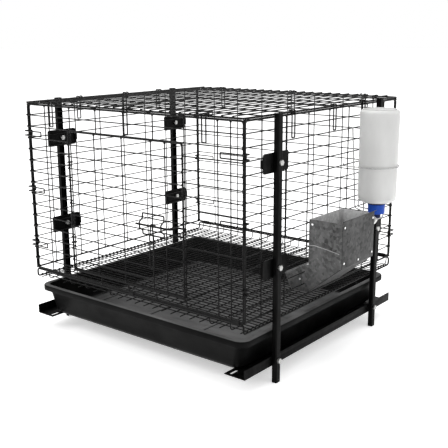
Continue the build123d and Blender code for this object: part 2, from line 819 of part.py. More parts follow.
def feeder_plane(y):
    """The plane of a feeder side plate, at y from the cage's centre line."""
    return Plane(origin=at(0, y, 0), x_dir=(1, 0, 0), z_dir=(0, 1, 0))


def feeder_side(y, inward):
    """A side plate with flanges folded inwards behind the hopper's outer and inner panels."""
    outline = [
        (HOPPER_IN_X, HOPPER_TOP_Z),
        (HOPPER_OUT_X, HOPPER_TOP_Z),
        (HOPPER_OUT_X, HOPPER_SLOPE_Z),
        (TROUGH_BACK_X, TROUGH_BOTTOM_Z),
        (TROUGH_FRONT_X, TROUGH_BOTTOM_Z),
        TROUGH_LIP,
        (HOPPER_IN_X - 7.6, HOOD_Z),
        (HOPPER_IN_X, HOOD_Z),
    ]
    start = y if inward > 0 else y - SHEET
    with BuildPart() as plate:
        with BuildSketch(feeder_plane(start)):
            with BuildLine():
                Polyline(*[hopper_sketch_point(x, z) for x, z in outline], close=True)
            make_face()
        extrude(amount=SHEET)
        flange_z = (HOPPER_SLOPE_Z + 6, HOPPER_TOP_Z - 2)
        for x in (HOPPER_OUT_X - SHEET, HOPPER_IN_X):
            near = y + inward * SHEET
            middle = near + inward * FLANGE_W / 2
            with BuildSketch(Plane(origin=at(x + SHEET / 2, middle, flange_z[0]))):
                Rectangle(SHEET, FLANGE_W)
            extrude(amount=flange_z[1] - flange_z[0])
    return plate.part


write("feeder_front_side", feeder_side(FEEDER_FRONT_Y, 1))
write("feeder_back_side", feeder_side(FEEDER_BACK_Y, -1))

panel_from = FEEDER_FRONT_Y - SHEET
panel_to = FEEDER_BACK_Y + SHEET
inside_from = FEEDER_FRONT_Y + SHEET
inside_to = FEEDER_BACK_Y - SHEET


def feeder_outer_panel():
    """The hopper's outer panel, with a folded top rim and a sloping foot into the trough."""
    run_in = HOPPER_OUT_X - TROUGH_BACK_X
    run_down = HOPPER_SLOPE_Z - TROUGH_BOTTOM_Z
    slope = Vector(run_in, run_down).length
    drop = SHEET * slope / run_in
    kink = SHEET * (slope - run_down) / run_in
    with BuildPart() as panel:
        with BuildSketch(feeder_plane(panel_from)):
            with BuildLine():
                Polyline(
                    (HOPPER_OUT_X, -HOPPER_TOP_Z - RIM_NECK),
                    (HOPPER_OUT_X + RIM_OUT, -HOPPER_TOP_Z - RIM_RISE),
                    (HOPPER_OUT_X + RIM_OUT, -HOPPER_TOP_Z - RIM_RISE + SHEET),
                    (HOPPER_OUT_X + SHEET, -HOPPER_TOP_Z - RIM_NECK + SHEET),
                    (HOPPER_OUT_X + SHEET, -HOPPER_SLOPE_Z + kink),
                    (TROUGH_BACK_X, -TROUGH_BOTTOM_Z + drop),
                    (TROUGH_BACK_X, -TROUGH_BOTTOM_Z),
                    (HOPPER_OUT_X, -HOPPER_SLOPE_Z),
                    close=True,
                )
            make_face()
        extrude(amount=panel_to - panel_from)
    return panel.part


write("feeder_outer_panel", feeder_outer_panel())


def feeder_trough():
    """The trough's floor and its rising lip inside the cage."""
    lip_x, lip_z = TROUGH_LIP
    with BuildPart() as trough:
        with BuildSketch(feeder_plane(panel_from)):
            with BuildLine():
                Polyline(
                    (TROUGH_BACK_X, -TROUGH_BOTTOM_Z),
                    (TROUGH_FRONT_X, -TROUGH_BOTTOM_Z),
                    (lip_x, -lip_z),
                    (lip_x - 4, -lip_z - 2),
                    (lip_x - 4.6, -lip_z - 1),
                    (lip_x - 1.1, -lip_z + 0.9),
                    (TROUGH_FRONT_X - 0.7, -TROUGH_BOTTOM_Z + SHEET),
                    (TROUGH_BACK_X, -TROUGH_BOTTOM_Z + SHEET),
                    close=True,
                )
            make_face()
        extrude(amount=panel_to - panel_from)
    return trough.part


write("feeder_trough", feeder_trough())


def feeder_inner_panel():
    """The hopper's wall on the cage side, bent into a short hood over the trough."""
    with BuildPart() as panel:
        with BuildSketch(feeder_plane(inside_from)):
            with BuildLine():
                Polyline(
                    (HOPPER_IN_X + SHEET, -HOPPER_TOP_Z),
                    (HOPPER_IN_X + 2 * SHEET, -HOPPER_TOP_Z),
                    (HOPPER_IN_X + 2 * SHEET, -HOOD_Z - SHEET),
                    (HOPPER_IN_X - 6, -HOOD_Z - SHEET),
                    (HOPPER_IN_X - 6, -HOOD_Z - 2 * SHEET),
                    (HOPPER_IN_X + SHEET, -HOOD_Z - 2 * SHEET),
                    close=True,
                )
            make_face()
        extrude(amount=inside_to - inside_from)
    return panel.part


write("feeder_inner_panel", feeder_inner_panel())


def rivet(point, outward):
    """A domed rivet head sitting on sheet metal."""
    with BuildPart() as head:
        with BuildSketch(Plane(origin=point, z_dir=outward)):
            Circle(RIVET_R)
        extrude(amount=RIVET_H)
        chamfer(head.faces().filter_by(GeomType.PLANE).edges(), 0.3)
    return head.part


rivets = []
outer_face = HOPPER_OUT_X + SHEET
for y in (FEEDER_FRONT_Y + 6, FEEDER_BACK_Y - 6):
    for z in (HOPPER_TOP_Z - 8, HOPPER_SLOPE_Z + 10):
        rivets.append(rivet(at(outer_face, y, z), (1, 0, 0)))
middle_y = (FEEDER_FRONT_Y + FEEDER_BACK_Y) / 2
rivets.append(rivet(at(outer_face, middle_y, HOPPER_SLOPE_Z + 6), (1, 0, 0)))
for x, z in ((HOPPER_IN_X + 8, HOPPER_TOP_Z - 10), (HOPPER_IN_X - 20, TROUGH_BOTTOM_Z + 25)):
    rivets.append(rivet(at(x, FEEDER_FRONT_Y, z), (0, -1, 0)))
    rivets.append(rivet(at(x, FEEDER_BACK_Y, z), (0, 1, 0)))
write("feeder_rivets", *rivets)


def feeder_spring(y, side):
    """A thin retaining wire along a side plate, hooked through the wall."""
    y = y + side * SPRING_STANDOFF
    path = [
        at(FRAME_X - 8.0, y, 253.0),
        at(HOPPER_IN_X + 16, y, 256.5),
        at(HOPPER_OUT_X - 34, y, 252.8),
        at(HOPPER_OUT_X - 6, y, 247.9),
    ]
    return bent_wire(path, SPRING_R, SPRING_BEND)


write("feeder_spring_wires", feeder_spring(FEEDER_FRONT_Y, -1), feeder_spring(FEEDER_BACK_Y, 1))

# ---------------------------------------------------------------- water bottle


def bottle_plane():
    """The upright plane through the bottle's axis, with its first direction outwards."""
    return Plane(origin=at(BOTTLE_X, BOTTLE_Y, 0), x_dir=(1, 0, 0), z_dir=(0, -1, 0))


bottle_axis = Axis(at(BOTTLE_X, BOTTLE_Y, 0), (0, 0, 1))
NECK_BOTTOM_Z = CAP_BOTTOM_Z + 4.0


def bottle():
    """The upturned bottle: a thin plastic shell, closed at the top and open at its neck."""
    base, top = BOTTLE_BASE_Z, BOTTLE_TOP_Z
    foot_x, foot_z = BOTTLE_R - BOTTLE_FOOT, base + BOTTLE_FOOT_H
    side_x, shoulder_x = BOTTLE_R - BOTTLE_TAPER, BOTTLE_R - BOTTLE_SHOULDER
    with BuildPart() as shell:
        with BuildSketch(bottle_plane()):
            with BuildLine():
                Line((0, top), (shoulder_x, top))
                ThreePointArc(
                    (shoulder_x, top), (BOTTLE_R - 2.34, top - 2.34), (BOTTLE_R, top - BOTTLE_SHOULDER)
                )
                Line((BOTTLE_R, top - BOTTLE_SHOULDER), (side_x, foot_z))
                ThreePointArc(
                    (side_x, foot_z), (BOTTLE_R - 4.5, base + 3.5), (foot_x, base)
                )
                Line((foot_x, base), (NECK_R, base))
                Line((NECK_R, base), (NECK_R, NECK_BOTTOM_Z))
                Line((NECK_R, NECK_BOTTOM_Z), (NECK_R - BOTTLE_WALL, NECK_BOTTOM_Z))
                Line(
                    (NECK_R - BOTTLE_WALL, NECK_BOTTOM_Z),
                    (NECK_R - BOTTLE_WALL, base + BOTTLE_WALL),
                )
                Line(
                    (NECK_R - BOTTLE_WALL, base + BOTTLE_WALL), (foot_x, base + BOTTLE_WALL)
                )
                ThreePointArc(
                    (foot_x, base + BOTTLE_WALL),
                    (BOTTLE_R - 5.5, base + 4.6),
                    (side_x - BOTTLE_WALL, foot_z),
                )
                Line(
                    (side_x - BOTTLE_WALL, foot_z), (BOTTLE_R - BOTTLE_WALL, top - BOTTLE_SHOULDER)
                )
                ThreePointArc(
                    (BOTTLE_R - BOTTLE_WALL, top - BOTTLE_SHOULDER),
                    (BOTTLE_R - 3.4, top - 3.4),
                    (shoulder_x, top - BOTTLE_WALL),
                )
                Line((shoulder_x, top - BOTTLE_WALL), (0, top - BOTTLE_WALL))
                Line((0, top - BOTTLE_WALL), (0, top))
            make_face()
        revolve(axis=bottle_axis)
    return shell.part


def bottle_cap():
    """The ribbed screw cap over the neck, with a nozzle that holds the drinking tube."""
    top = BOTTLE_BASE_Z - 0.5
    with BuildPart() as cap:
        with BuildSketch(bottle_plane()):
            with BuildLine():
                Polyline(
                    (TUBE_R, NOZZLE_BOTTOM_Z),
                    (NOZZLE_R - 1.5, NOZZLE_BOTTOM_Z),
                    (NOZZLE_R, NOZZLE_BOTTOM_Z + 1.5),
                    (NOZZLE_R, CAP_BOTTOM_Z),
                    (CAP_R - 2.5, CAP_BOTTOM_Z),
                    (CAP_R, CAP_BOTTOM_Z + 2.5),
                    (CAP_R, top),
                    (NECK_R, top),
                    (NECK_R, CAP_BOTTOM_Z + CAP_FLOOR_T),
                    (TUBE_R, CAP_BOTTOM_Z + CAP_FLOOR_T),
                    close=True,
                )
            make_face()
        revolve(axis=bottle_axis)
        with BuildSketch(Plane(origin=at(BOTTLE_X, BOTTLE_Y, CAP_BOTTOM_Z + 3.5))):
            with PolarLocations(CAP_R, CAP_RIBS):
                Circle(CAP_RIB_R)
        extrude(amount=CAP_RIB_H)
    return cap.part


def cap_seal():
    """The flat seal between the neck's rim and the inside of the cap."""
    with BuildPart() as seal:
        with BuildSketch(Plane(origin=at(BOTTLE_X, BOTTLE_Y, CAP_BOTTOM_Z + CAP_FLOOR_T))):
            Circle(NECK_R)
            Circle(TUBE_R, mode=Mode.SUBTRACT)
        extrude(amount=NECK_BOTTOM_Z - CAP_BOTTOM_Z - CAP_FLOOR_T)
    return seal.part


TUBE_TIP = at(311.0, BOTTLE_Y, 243.0)


def sipper_tube():
    """The steel drinking tube, bent towards the cage and necked in at its tip."""
    path = [
        at(BOTTLE_X, BOTTLE_Y, NECK_BOTTOM_Z + 8.0),
        at(BOTTLE_X, BOTTLE_Y, TUBE_ELBOW_Z),
        TUBE_TIP,
    ]
    with BuildPart() as tube:
        with BuildLine() as line:
            FilletPolyline(*path, radius=TUBE_BEND)
        with BuildSketch(Plane(origin=line.line @ 0, z_dir=line.line % 0)):
            Circle(TUBE_R)
            Circle(TUBE_R - TUBE_WALL, mode=Mode.SUBTRACT)
        sweep()
        with BuildSketch(Plane(origin=line.line @ 1, z_dir=-(line.line % 1))):
            Circle(TUBE_R)
            Circle(BALL_R - 0.4, mode=Mode.SUBTRACT)
        extrude(amount=TUBE_WALL)
    return tube.part


def sipper_ball():
    """The steel ball that closes the tube's tip until it is licked."""
    tip = Vector(*TUBE_TIP)
    down = (tip - Vector(*at(BOTTLE_X, BOTTLE_Y, TUBE_ELBOW_Z))).normalized()
    seat = (BALL_R**2 - (BALL_R - 0.4) ** 2) ** 0.5
    with BuildPart() as ball:
        with Locations(tip - down * (TUBE_WALL + seat)):
            Sphere(BALL_R)
    return ball.part


write("bottle", bottle())
write("bottle_cap", bottle_cap())
write("cap_seal", cap_seal())
write("sipper_tube", sipper_tube())
write("sipper_ball", sipper_ball())


def bottle_holder():
    """One bent wire: hooks over the wall, a V down it, and a stirrup under the bottle's cap."""
    hook_x, wall_x, out_x = FRAME_X - ON_FRAME - 3.0, 307.0, BOTTLE_X + 8.0
    hang_z = WALL_BOTTOM + 13 * CELL + MESH_R + CLIP_R
    knee_z, arm_z = 302.0, CAP_BOTTOM_Z - 2.0
    stirrup_z = NOZZLE_BOTTOM_Z - CLIP_R - 0.1
    path = []
    for side in (-1, 1):
        half = [
            at(hook_x, BOTTLE_Y + side * HOLDER_HALF_W, hang_z - 9),
            at(hook_x, BOTTLE_Y + side * HOLDER_HALF_W, hang_z),
            at(wall_x, BOTTLE_Y + side * HOLDER_HALF_W, hang_z),
            at(wall_x, BOTTLE_Y + side * 6.6, knee_z),
            at(out_x, BOTTLE_Y + side * 24.0, arm_z),
            at(out_x, BOTTLE_Y + side * 13.0, stirrup_z),
        ]
        path += half if side < 0 else half[::-1]
    return bent_wire(path, CLIP_R, HOLDER_BEND)


write("bottle_holder", bottle_holder())


def bottle_band():
    """A wire hoop round the bottle, hooked behind a rung of the wall at both ends."""
    hook_x = FRAME_X - ON_FRAME - 3.4
    wall_x = LEG_INNER_X - GAP
    near, far = BOTTLE_Y - BAND_HOOP_R, BOTTLE_Y + BAND_HOOP_R
    bend = BAND_HOOP_R * 0.98
    out_x = BOTTLE_X + BAND_HOOP_R
    with BuildPart() as band:
        with BuildLine() as path:
            FilletPolyline(
                at(hook_x, near, BAND_Z + 6),
                at(hook_x, near, BAND_Z),
                at(BOTTLE_X, near, BAND_Z),
                radius=2.0,
            )
            ThreePointArc(
                at(BOTTLE_X, near, BAND_Z), at(out_x, BOTTLE_Y, BAND_Z), at(BOTTLE_X, far, BAND_Z)
            )
            FilletPolyline(
                at(BOTTLE_X, far, BAND_Z),
                at(hook_x, far, BAND_Z),
                at(hook_x, far, BAND_Z + 6),
                radius=2.0,
            )
        with BuildSketch(Plane(origin=path.line @ 0, z_dir=path.line % 0)):
            Circle(MESH_R)
        sweep()
    return band.part


write("bottle_band", bottle_band())
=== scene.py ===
"""The looks of the kennel cage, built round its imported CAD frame.

Lengths are metres. Every wire panel is rebuilt as smooth round wire with a coating fillet at
each weld, from the sizes and places of the CAD wires. The loops and latch are rebuilt as round
bent wire, the tray, bottle and cap as smooth mouldings, and the feeder's sheets and the rails
with softened edges. All other CAD pieces stay and get procedural materials.
"""

import json
import math
import random

import bmesh
import bpy
from mathutils import Matrix, Vector


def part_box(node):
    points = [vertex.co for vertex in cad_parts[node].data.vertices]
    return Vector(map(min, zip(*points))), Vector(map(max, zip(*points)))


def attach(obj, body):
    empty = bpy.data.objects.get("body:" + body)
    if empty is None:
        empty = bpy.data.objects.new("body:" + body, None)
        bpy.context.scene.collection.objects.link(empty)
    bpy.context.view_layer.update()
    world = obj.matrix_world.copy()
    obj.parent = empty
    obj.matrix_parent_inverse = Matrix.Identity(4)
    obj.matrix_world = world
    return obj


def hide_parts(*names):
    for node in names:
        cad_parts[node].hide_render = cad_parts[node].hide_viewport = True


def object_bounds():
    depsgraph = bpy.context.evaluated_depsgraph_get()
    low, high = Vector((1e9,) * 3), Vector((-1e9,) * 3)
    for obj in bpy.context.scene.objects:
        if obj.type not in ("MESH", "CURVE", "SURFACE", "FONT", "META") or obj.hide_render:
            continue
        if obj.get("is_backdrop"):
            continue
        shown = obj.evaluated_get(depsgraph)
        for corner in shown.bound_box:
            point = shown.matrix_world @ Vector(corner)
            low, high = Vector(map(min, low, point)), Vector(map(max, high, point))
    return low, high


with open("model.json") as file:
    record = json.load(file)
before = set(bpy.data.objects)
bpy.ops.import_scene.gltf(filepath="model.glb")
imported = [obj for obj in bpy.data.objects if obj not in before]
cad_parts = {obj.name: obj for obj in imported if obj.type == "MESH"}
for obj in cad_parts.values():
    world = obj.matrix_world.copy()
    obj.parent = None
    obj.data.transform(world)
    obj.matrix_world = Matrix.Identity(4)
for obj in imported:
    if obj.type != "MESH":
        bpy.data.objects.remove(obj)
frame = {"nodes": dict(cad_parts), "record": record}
cad_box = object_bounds()
nodes = frame["nodes"]
rng = random.Random(7)
MM = 0.001
UP = Vector((0, 0, 1))

# ------------------------------------------------------------------ materials


def new_material(name, **sockets):
    """A Principled material with the given socket values, its node tree and its shader."""
    material = bpy.data.materials.new(name)
    material.use_nodes = True
    tree = material.node_tree
    shader = tree.nodes["Principled BSDF"]
    for socket, value in sockets.items():
        shader.inputs[socket.replace("_", " ")].default_value = value
    return material, tree, shader


def coordinates(tree, scale=(1, 1, 1)):
    """Object coordinates in metres, stretched by scale."""
    source = tree.nodes.new("ShaderNodeTexCoord")
    mapping = tree.nodes.new("ShaderNodeMapping")
    mapping.inputs["Scale"].default_value = scale
    tree.links.new(source.outputs["Object"], mapping.inputs["Vector"])
    return mapping.outputs["Vector"]


def noise(tree, vector, scale, detail=2.0, roughness=0.5):
    """A noise texture's value at a feature size of about 1/scale metres."""
    node = tree.nodes.new("ShaderNodeTexNoise")
    node.inputs["Scale"].default_value = scale
    node.inputs["Detail"].default_value = detail
    node.inputs["Roughness"].default_value = roughness
    tree.links.new(vector, node.inputs["Vector"])
    return node.outputs["Fac"]


def ramp(tree, value, stops):
    """A colour ramp over value: stops are (position, grey level or colour)."""
    node = tree.nodes.new("ShaderNodeValToRGB")
    elements = node.color_ramp.elements
    while len(elements) < len(stops):
        elements.new(0.5)
    for element, (position, colour) in zip(elements, stops):
        element.position = position
        grey = isinstance(colour, (int, float))
        element.color = (colour, colour, colour, 1) if grey else (*colour, 1)
    tree.links.new(value, node.inputs["Fac"])
    return node.outputs["Color"]


def bump(tree, shader, height, strength, distance):
    """Raise the surface by a height texture, distance metres from low to high."""
    node = tree.nodes.new("ShaderNodeBump")
    node.inputs["Strength"].default_value = strength
    node.inputs["Distance"].default_value = distance
    tree.links.new(height, node.inputs["Height"])
    tree.links.new(node.outputs["Normal"], shader.inputs["Normal"])


def coated_wire_material():
    """Black dipped coating: satin, a little lumpy, with thin dust on it."""
    material, tree, shader = new_material("coated_wire", Specular_IOR_Level=0.1)
    where = coordinates(tree)
    dust = ramp(tree, noise(tree, where, 90, 4), [(0.35, 0.001), (0.75, 0.006)])
    tree.links.new(dust, shader.inputs["Base Color"])
    gloss = ramp(tree, noise(tree, where, 260, 3), [(0.3, 0.3), (0.7, 0.46)])
    tree.links.new(gloss, shader.inputs["Roughness"])
    bump(tree, shader, noise(tree, where, 420, 2), 0.35, 0.0002)
    return material


def powder_coat_material():
    """Black powder coat with its fine orange peel, scuffed a little."""
    material, tree, shader = new_material("powder_coat", Specular_IOR_Level=0.05)
    where = coordinates(tree)
    scuffs = noise(tree, coordinates(tree, (1, 1, 0.12)), 120, 6, 0.7)
    tree.links.new(ramp(tree, scuffs, [(0.45, 0.001), (0.72, 0.006)]), shader.inputs["Base Color"])
    gloss = ramp(tree, noise(tree, where, 60, 4), [(0.3, 0.34), (0.75, 0.52)])
    tree.links.new(gloss, shader.inputs["Roughness"])
    bump(tree, shader, noise(tree, where, 900, 2), 0.3, 0.00012)
    return material


def tray_material():
    """Black moulded plastic with a fine grain and faint flow marks, and a painted highlight that
    lightens its upward-facing faces.
    """
    material, tree, shader = new_material("tray_plastic", Specular_IOR_Level=0.04)
    where = coordinates(tree)
    flow = noise(tree, coordinates(tree, (0.25, 1, 1)), 22, 4, 0.6)
    source = tree.nodes.new("ShaderNodeTexCoord")
    axes = tree.nodes.new("ShaderNodeSeparateXYZ")
    tree.links.new(source.outputs["Normal"], axes.inputs["Vector"])
    # Painted highlight: faces that look upward get a lighter grey, standing for the sheen of light
    # along the rim's top and on the floor
    level = ramp(tree, axes.outputs["Z"], [(0.7, 0.0), (0.97, 1.0)])
    blend = tree.nodes.new("ShaderNodeMix")
    blend.data_type = "RGBA"
    tree.links.new(level, blend.inputs["Factor"])
    bare, painted_top_highlight = [socket for socket in blend.inputs if socket.type == "RGBA"]
    tree.links.new(ramp(tree, flow, [(0.35, 0.001), (0.7, 0.006)]), bare)
    tree.links.new(ramp(tree, flow, [(0.35, 0.07), (0.7, 0.15)]), painted_top_highlight)
    shade = next(socket for socket in blend.outputs if socket.type == "RGBA")
    tree.links.new(shade, shader.inputs["Base Color"])
    gloss = ramp(tree, noise(tree, where, 35, 3), [(0.3, 0.36), (0.7, 0.5)])
    tree.links.new(gloss, shader.inputs["Roughness"])
    bump(tree, shader, noise(tree, where, 1500, 2), 0.35, 0.00015)
    return material


def galvanised_material(name, spangle_scale, dark, light, metallic=1.0):
    """Zinc coating: crystals of differing brightness and gloss, with soft stains over them."""
    material, tree, shader = new_material(name, Metallic=metallic)
    cells = tree.nodes.new("ShaderNodeTexVoronoi")
    cells.inputs["Scale"].default_value = spangle_scale
    where = coordinates(tree)
    tree.links.new(where, cells.inputs["Vector"])
    split = tree.nodes.new("ShaderNodeSeparateColor")
    tree.links.new(cells.outputs["Color"], split.inputs["Color"])
    stain = noise(tree, coordinates(tree, (1, 1, 0.22)), 24, 5, 0.65)
    blend = tree.nodes.new("ShaderNodeMix")
    blend.inputs["Factor"].default_value = 0.72
    tree.links.new(split.outputs["Red"], blend.inputs["A"])
    tree.links.new(stain, blend.inputs["B"])
    mixed = blend.outputs["Result"]
    tree.links.new(ramp(tree, mixed, [(0.25, dark), (0.75, light)]), shader.inputs["Base Color"])
    gloss = ramp(tree, split.outputs["Green"], [(0.0, 0.5), (1.0, 0.66)])
    tree.links.new(gloss, shader.inputs["Roughness"])
    bump(tree, shader, mixed, 0.15, 0.0002)
    return material


def plated_material(name, tint, low, high):
    """Bright plated or polished steel, finely brushed."""
    material, tree, shader = new_material(name, Metallic=1.0)
    wear = noise(tree, coordinates(tree, (1, 1, 6)), 300, 4)
    shades = [(0.3, tuple(c * 0.8 for c in tint)), (0.7, tint)]
    tree.links.new(ramp(tree, wear, shades), shader.inputs["Base Color"])
    tree.links.new(ramp(tree, wear, [(0.3, low), (0.7, high)]), shader.inputs["Roughness"])
    bump(tree, shader, wear, 0.1, 0.0001)
    return material


def bottle_material():
    """Frosted polyethylene: milky, faintly translucent and slightly uneven in thickness."""
    material, tree, shader = new_material(
        "bottle_plastic", Subsurface_Weight=0.35, Transmission_Weight=0.12, IOR=1.5
    )
    shader.inputs["Subsurface Radius"].default_value = (0.02, 0.02, 0.02)
    shader.inputs["Subsurface Scale"].default_value = 1.0
    uneven = noise(tree, coordinates(tree, (1, 1, 0.4)), 30, 4)
    shades = [(0.3, (0.6, 0.6, 0.59)), (0.7, (0.68, 0.68, 0.67))]
    tree.links.new(ramp(tree, uneven, shades), shader.inputs["Base Color"])
    grain = noise(tree, coordinates(tree), 900, 3)
    tree.links.new(ramp(tree, grain, [(0.3, 0.36), (0.7, 0.48)]), shader.inputs["Roughness"])
    bump(tree, shader, grain, 0.12, 0.0002)
    return material


def cap_material(low_z, nozzle_z, band_z):
    """Blue moulded plastic, nearly black in the nozzle below nozzle_z and the band above band_z."""
    material, tree, shader = new_material("cap_plastic", Specular_IOR_Level=0.12)
    source = tree.nodes.new("ShaderNodeTexCoord")
    axes = tree.nodes.new("ShaderNodeSeparateXYZ")
    tree.links.new(source.outputs["Object"], axes.inputs["Vector"])
    height = tree.nodes.new("ShaderNodeMapRange")
    height.inputs["From Min"].default_value = low_z
    height.inputs["From Max"].default_value = 2 * band_z - low_z
    tree.links.new(axes.outputs["Z"], height.inputs["Value"])
    nozzle = (nozzle_z - low_z) / (2 * (band_z - low_z))
    navy, blue = (0.003, 0.008, 0.045), (0.010, 0.055, 0.33)
    blues = [(nozzle - 0.01, navy), (nozzle, blue), (0.49, blue), (0.52, navy)]
    tree.links.new(ramp(tree, height.outputs["Result"], blues), shader.inputs["Base Color"])
    grain = noise(tree, coordinates(tree), 700, 2)
    tree.links.new(ramp(tree, grain, [(0.3, 0.26), (0.7, 0.38)]), shader.inputs["Roughness"])
    bump(tree, shader, grain, 0.1, 0.0002)
    return material


def rubber_material():
    """Dark matt rubber."""
    material, tree, shader = new_material("seal_rubber")
    grain = noise(tree, coordinates(tree), 800, 3)
    tree.links.new(ramp(tree, grain, [(0.3, 0.02), (0.7, 0.05)]), shader.inputs["Base Color"])
    tree.links.new(ramp(tree, grain, [(0.3, 0.6), (0.7, 0.8)]), shader.inputs["Roughness"])
    bump(tree, shader, grain, 0.2, 0.0002)
    return material


cap_low, cap_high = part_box("bottle_cap")
CAP_BAND_Z = cap_high.z - 5.5 * MM
CAP_NOZZLE_Z = cap_low.z + 9 * MM
MATERIALS = {
    "coated_wire": coated_wire_material(),
    "powder_coat": powder_coat_material(),
    "tray_plastic": tray_material(),
    "galvanised_sheet": galvanised_material("galvanised_sheet", 170, 0.055, 0.21),
    "galvanised_wire": galvanised_material("galvanised_wire", 900, 0.3, 0.6),
    "zinc": plated_material("zinc", (0.5, 0.5, 0.49), 0.26, 0.44),
    "rivet": plated_material("rivet", (0.9, 0.9, 0.9), 0.2, 0.34),
    "stainless": plated_material("stainless", (0.66, 0.66, 0.65), 0.12, 0.24),
    "bottle_plastic": bottle_material(),
    "cap_plastic": cap_material(cap_low.z, CAP_NOZZLE_Z, CAP_BAND_Z),
    "seal_rubber": rubber_material(),
}
# Painted light: the faces inside the hopper get a lighter, duller copy of the zinc sheet than the
# outside, standing for the light falling on them
PAINTED_LIGHT_SHEET = galvanised_material("painted_light_sheet", 170, 0.4, 0.75, 0.4)
# Painted shade: the outer panel gets a darker copy of the zinc sheet, standing for the shade on that
# face
PAINTED_SHADE_SHEET = galvanised_material("painted_shade_sheet", 170, 0.028, 0.10)
SLOT_OF = {part["node"]: part["material_slot"] for part in frame["record"]["subparts"]}
BODY_OF = {
    node: body for body, names in frame["record"]["behaviour"]["bodies"].items() for node in names
}

MATERIAL_OF = {name: MATERIALS[slot] for name, slot in SLOT_OF.items()}
# The hopper's inside faces take the lighter copy of the zinc sheet, as painted light
MATERIAL_OF["feeder_inner_panel"] = PAINTED_LIGHT_SHEET
MATERIAL_OF["feeder_back_side"] = PAINTED_LIGHT_SHEET
# The outer panel takes the darker copy of the zinc sheet, as painted shade
MATERIAL_OF["feeder_outer_panel"] = PAINTED_SHADE_SHEET

for name, node in nodes.items():
    node.data.materials.clear()
    node.data.materials.append(MATERIAL_OF[name])

# ------------------------------------------------------------------ mesh tools


def finish_piece(name, builder, node, smooth_angle=40):
    """Turn a bmesh into a piece that stands for a CAD node, on its body and in its finish."""
    mesh = bpy.data.meshes.new(name)
    bmesh.ops.recalc_face_normals(builder, faces=builder.faces)
    builder.to_mesh(mesh)
    builder.free()
    piece = bpy.data.objects.new(name, mesh)
    bpy.context.scene.collection.objects.link(piece)
    mesh.materials.append(MATERIAL_OF[node])
    mesh.shade_smooth()
    mesh.set_sharp_from_angle(angle=math.radians(smooth_angle))
    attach(piece, BODY_OF[node])
    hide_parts(node)
    return piece


def rounded_path(corners, radius, closed=False, steps=5):
    """A polyline through the corners, each turned by an arc of the given radius."""
    count = len(corners)
    path = []
    for i, corner in enumerate(corners):
        if radius == 0 or not closed and i in (0, count - 1):
            path.append(corner.copy())
            continue
        back = (corners[i - 1] - corner).normalized()
        ahead = (corners[(i + 1) % count] - corner).normalized()
        half = back.angle(ahead) / 2
        bisector = (back + ahead).normalized()
        centre = corner + bisector * (radius / math.sin(half))
        start = corner + back * (radius / math.tan(half)) - centre
        end = corner + ahead * (radius / math.tan(half)) - centre
        for k in range(steps + 1):
            spoke = start.slerp(end, k / steps).normalized() * start.length
            path.append(centre + spoke)
    return path


def add_tube(builder, path, radius, sides=12, closed=False):
    """Add a round wire along a polyline, with slightly rounded ends."""
    count = len(path)
    rings = []
    normal = None
    for i, point in enumerate(path):
        before = path[i - 1] if closed or i else point
        after = path[(i + 1) % count] if closed or i < count - 1 else point
        along = (after - before).normalized()
        if normal is None:
            normal = along.orthogonal().normalized()
        normal = (normal - along * normal.dot(along)).normalized()
        across = along.cross(normal)
        rings.append((point, along, normal, across))
    loops = []
    if not closed:
        first, last = rings[0], rings[-1]
        inset = radius * 0.35
        rings[0] = (first[0] + first[1] * inset, *first[1:])
        rings[-1] = (last[0] - last[1] * inset, *last[1:])
        ends = ((first, 0.62), *[(ring, 1.0) for ring in rings], (last, 0.62))
    else:
        ends = [(ring, 1.0) for ring in rings]
    for (point, _, side, other), share in ends:
        loop = []
        for k in range(sides):
            angle = 2 * math.pi * k / sides
            reach = side * math.cos(angle) + other * math.sin(angle)
            loop.append(builder.verts.new(point + reach * radius * share))
        loops.append(loop)
    pairs = list(zip(loops, loops[1:]))
    if closed:
        pairs.append((loops[-1], match_loop(loops[-1], loops[0])))
    for low, high in pairs:
        for k in range(sides):
            nxt = (k + 1) % sides
            builder.faces.new((low[k], low[nxt], high[nxt], high[k]))
    if not closed:
        builder.faces.new(loops[0][::-1])
        builder.faces.new(loops[-1])


def match_loop(loop, other):
    """Turn the other loop's vertices so that they meet this loop's with the least twist."""
    sides = len(loop)
    shifts = [other[k:] + other[:k] for k in range(sides)]
    return min(shifts, key=lambda turned: (turned[0].co - loop[0].co).length)


def add_nugget(builder, centre, spread, height_axis, height):
    """Add a weld's coating fillet: a flattened bead centred between two crossing wires."""
    scale = [spread, spread, spread]
    scale[height_axis] = height
    matrix = Matrix.Translation(centre) @ Matrix.Diagonal((*scale, 1))
    bmesh.ops.create_uvsphere(builder, u_segments=8, v_segments=6, radius=1.0, matrix=matrix)


def islands(node):
    """The box of each separate wire in a CAD node, as (low corner, high corner)."""
    builder = bmesh.new()
    builder.from_mesh(node.data)
    bmesh.ops.remove_doubles(builder, verts=builder.verts, dist=1e-6)
    unseen = set(builder.verts)
    boxes = []
    while unseen:
        stack = [unseen.pop()]
        low, high = stack[0].co.copy(), stack[0].co.copy()
        while stack:
            vert = stack.pop()
            low = Vector(map(min, low, vert.co))
            high = Vector(map(max, high, vert.co))
            for edge in vert.link_edges:
                other = edge.other_vert(vert)
                if other in unseen:
                    unseen.discard(other)
                    stack.append(other)
        boxes.append((low, high))
    builder.free()
    return sorted(boxes, key=lambda box: tuple(round(c, 6) for c in (*box[0], *box[1])))


# ------------------------------------------------------------------ wire panels

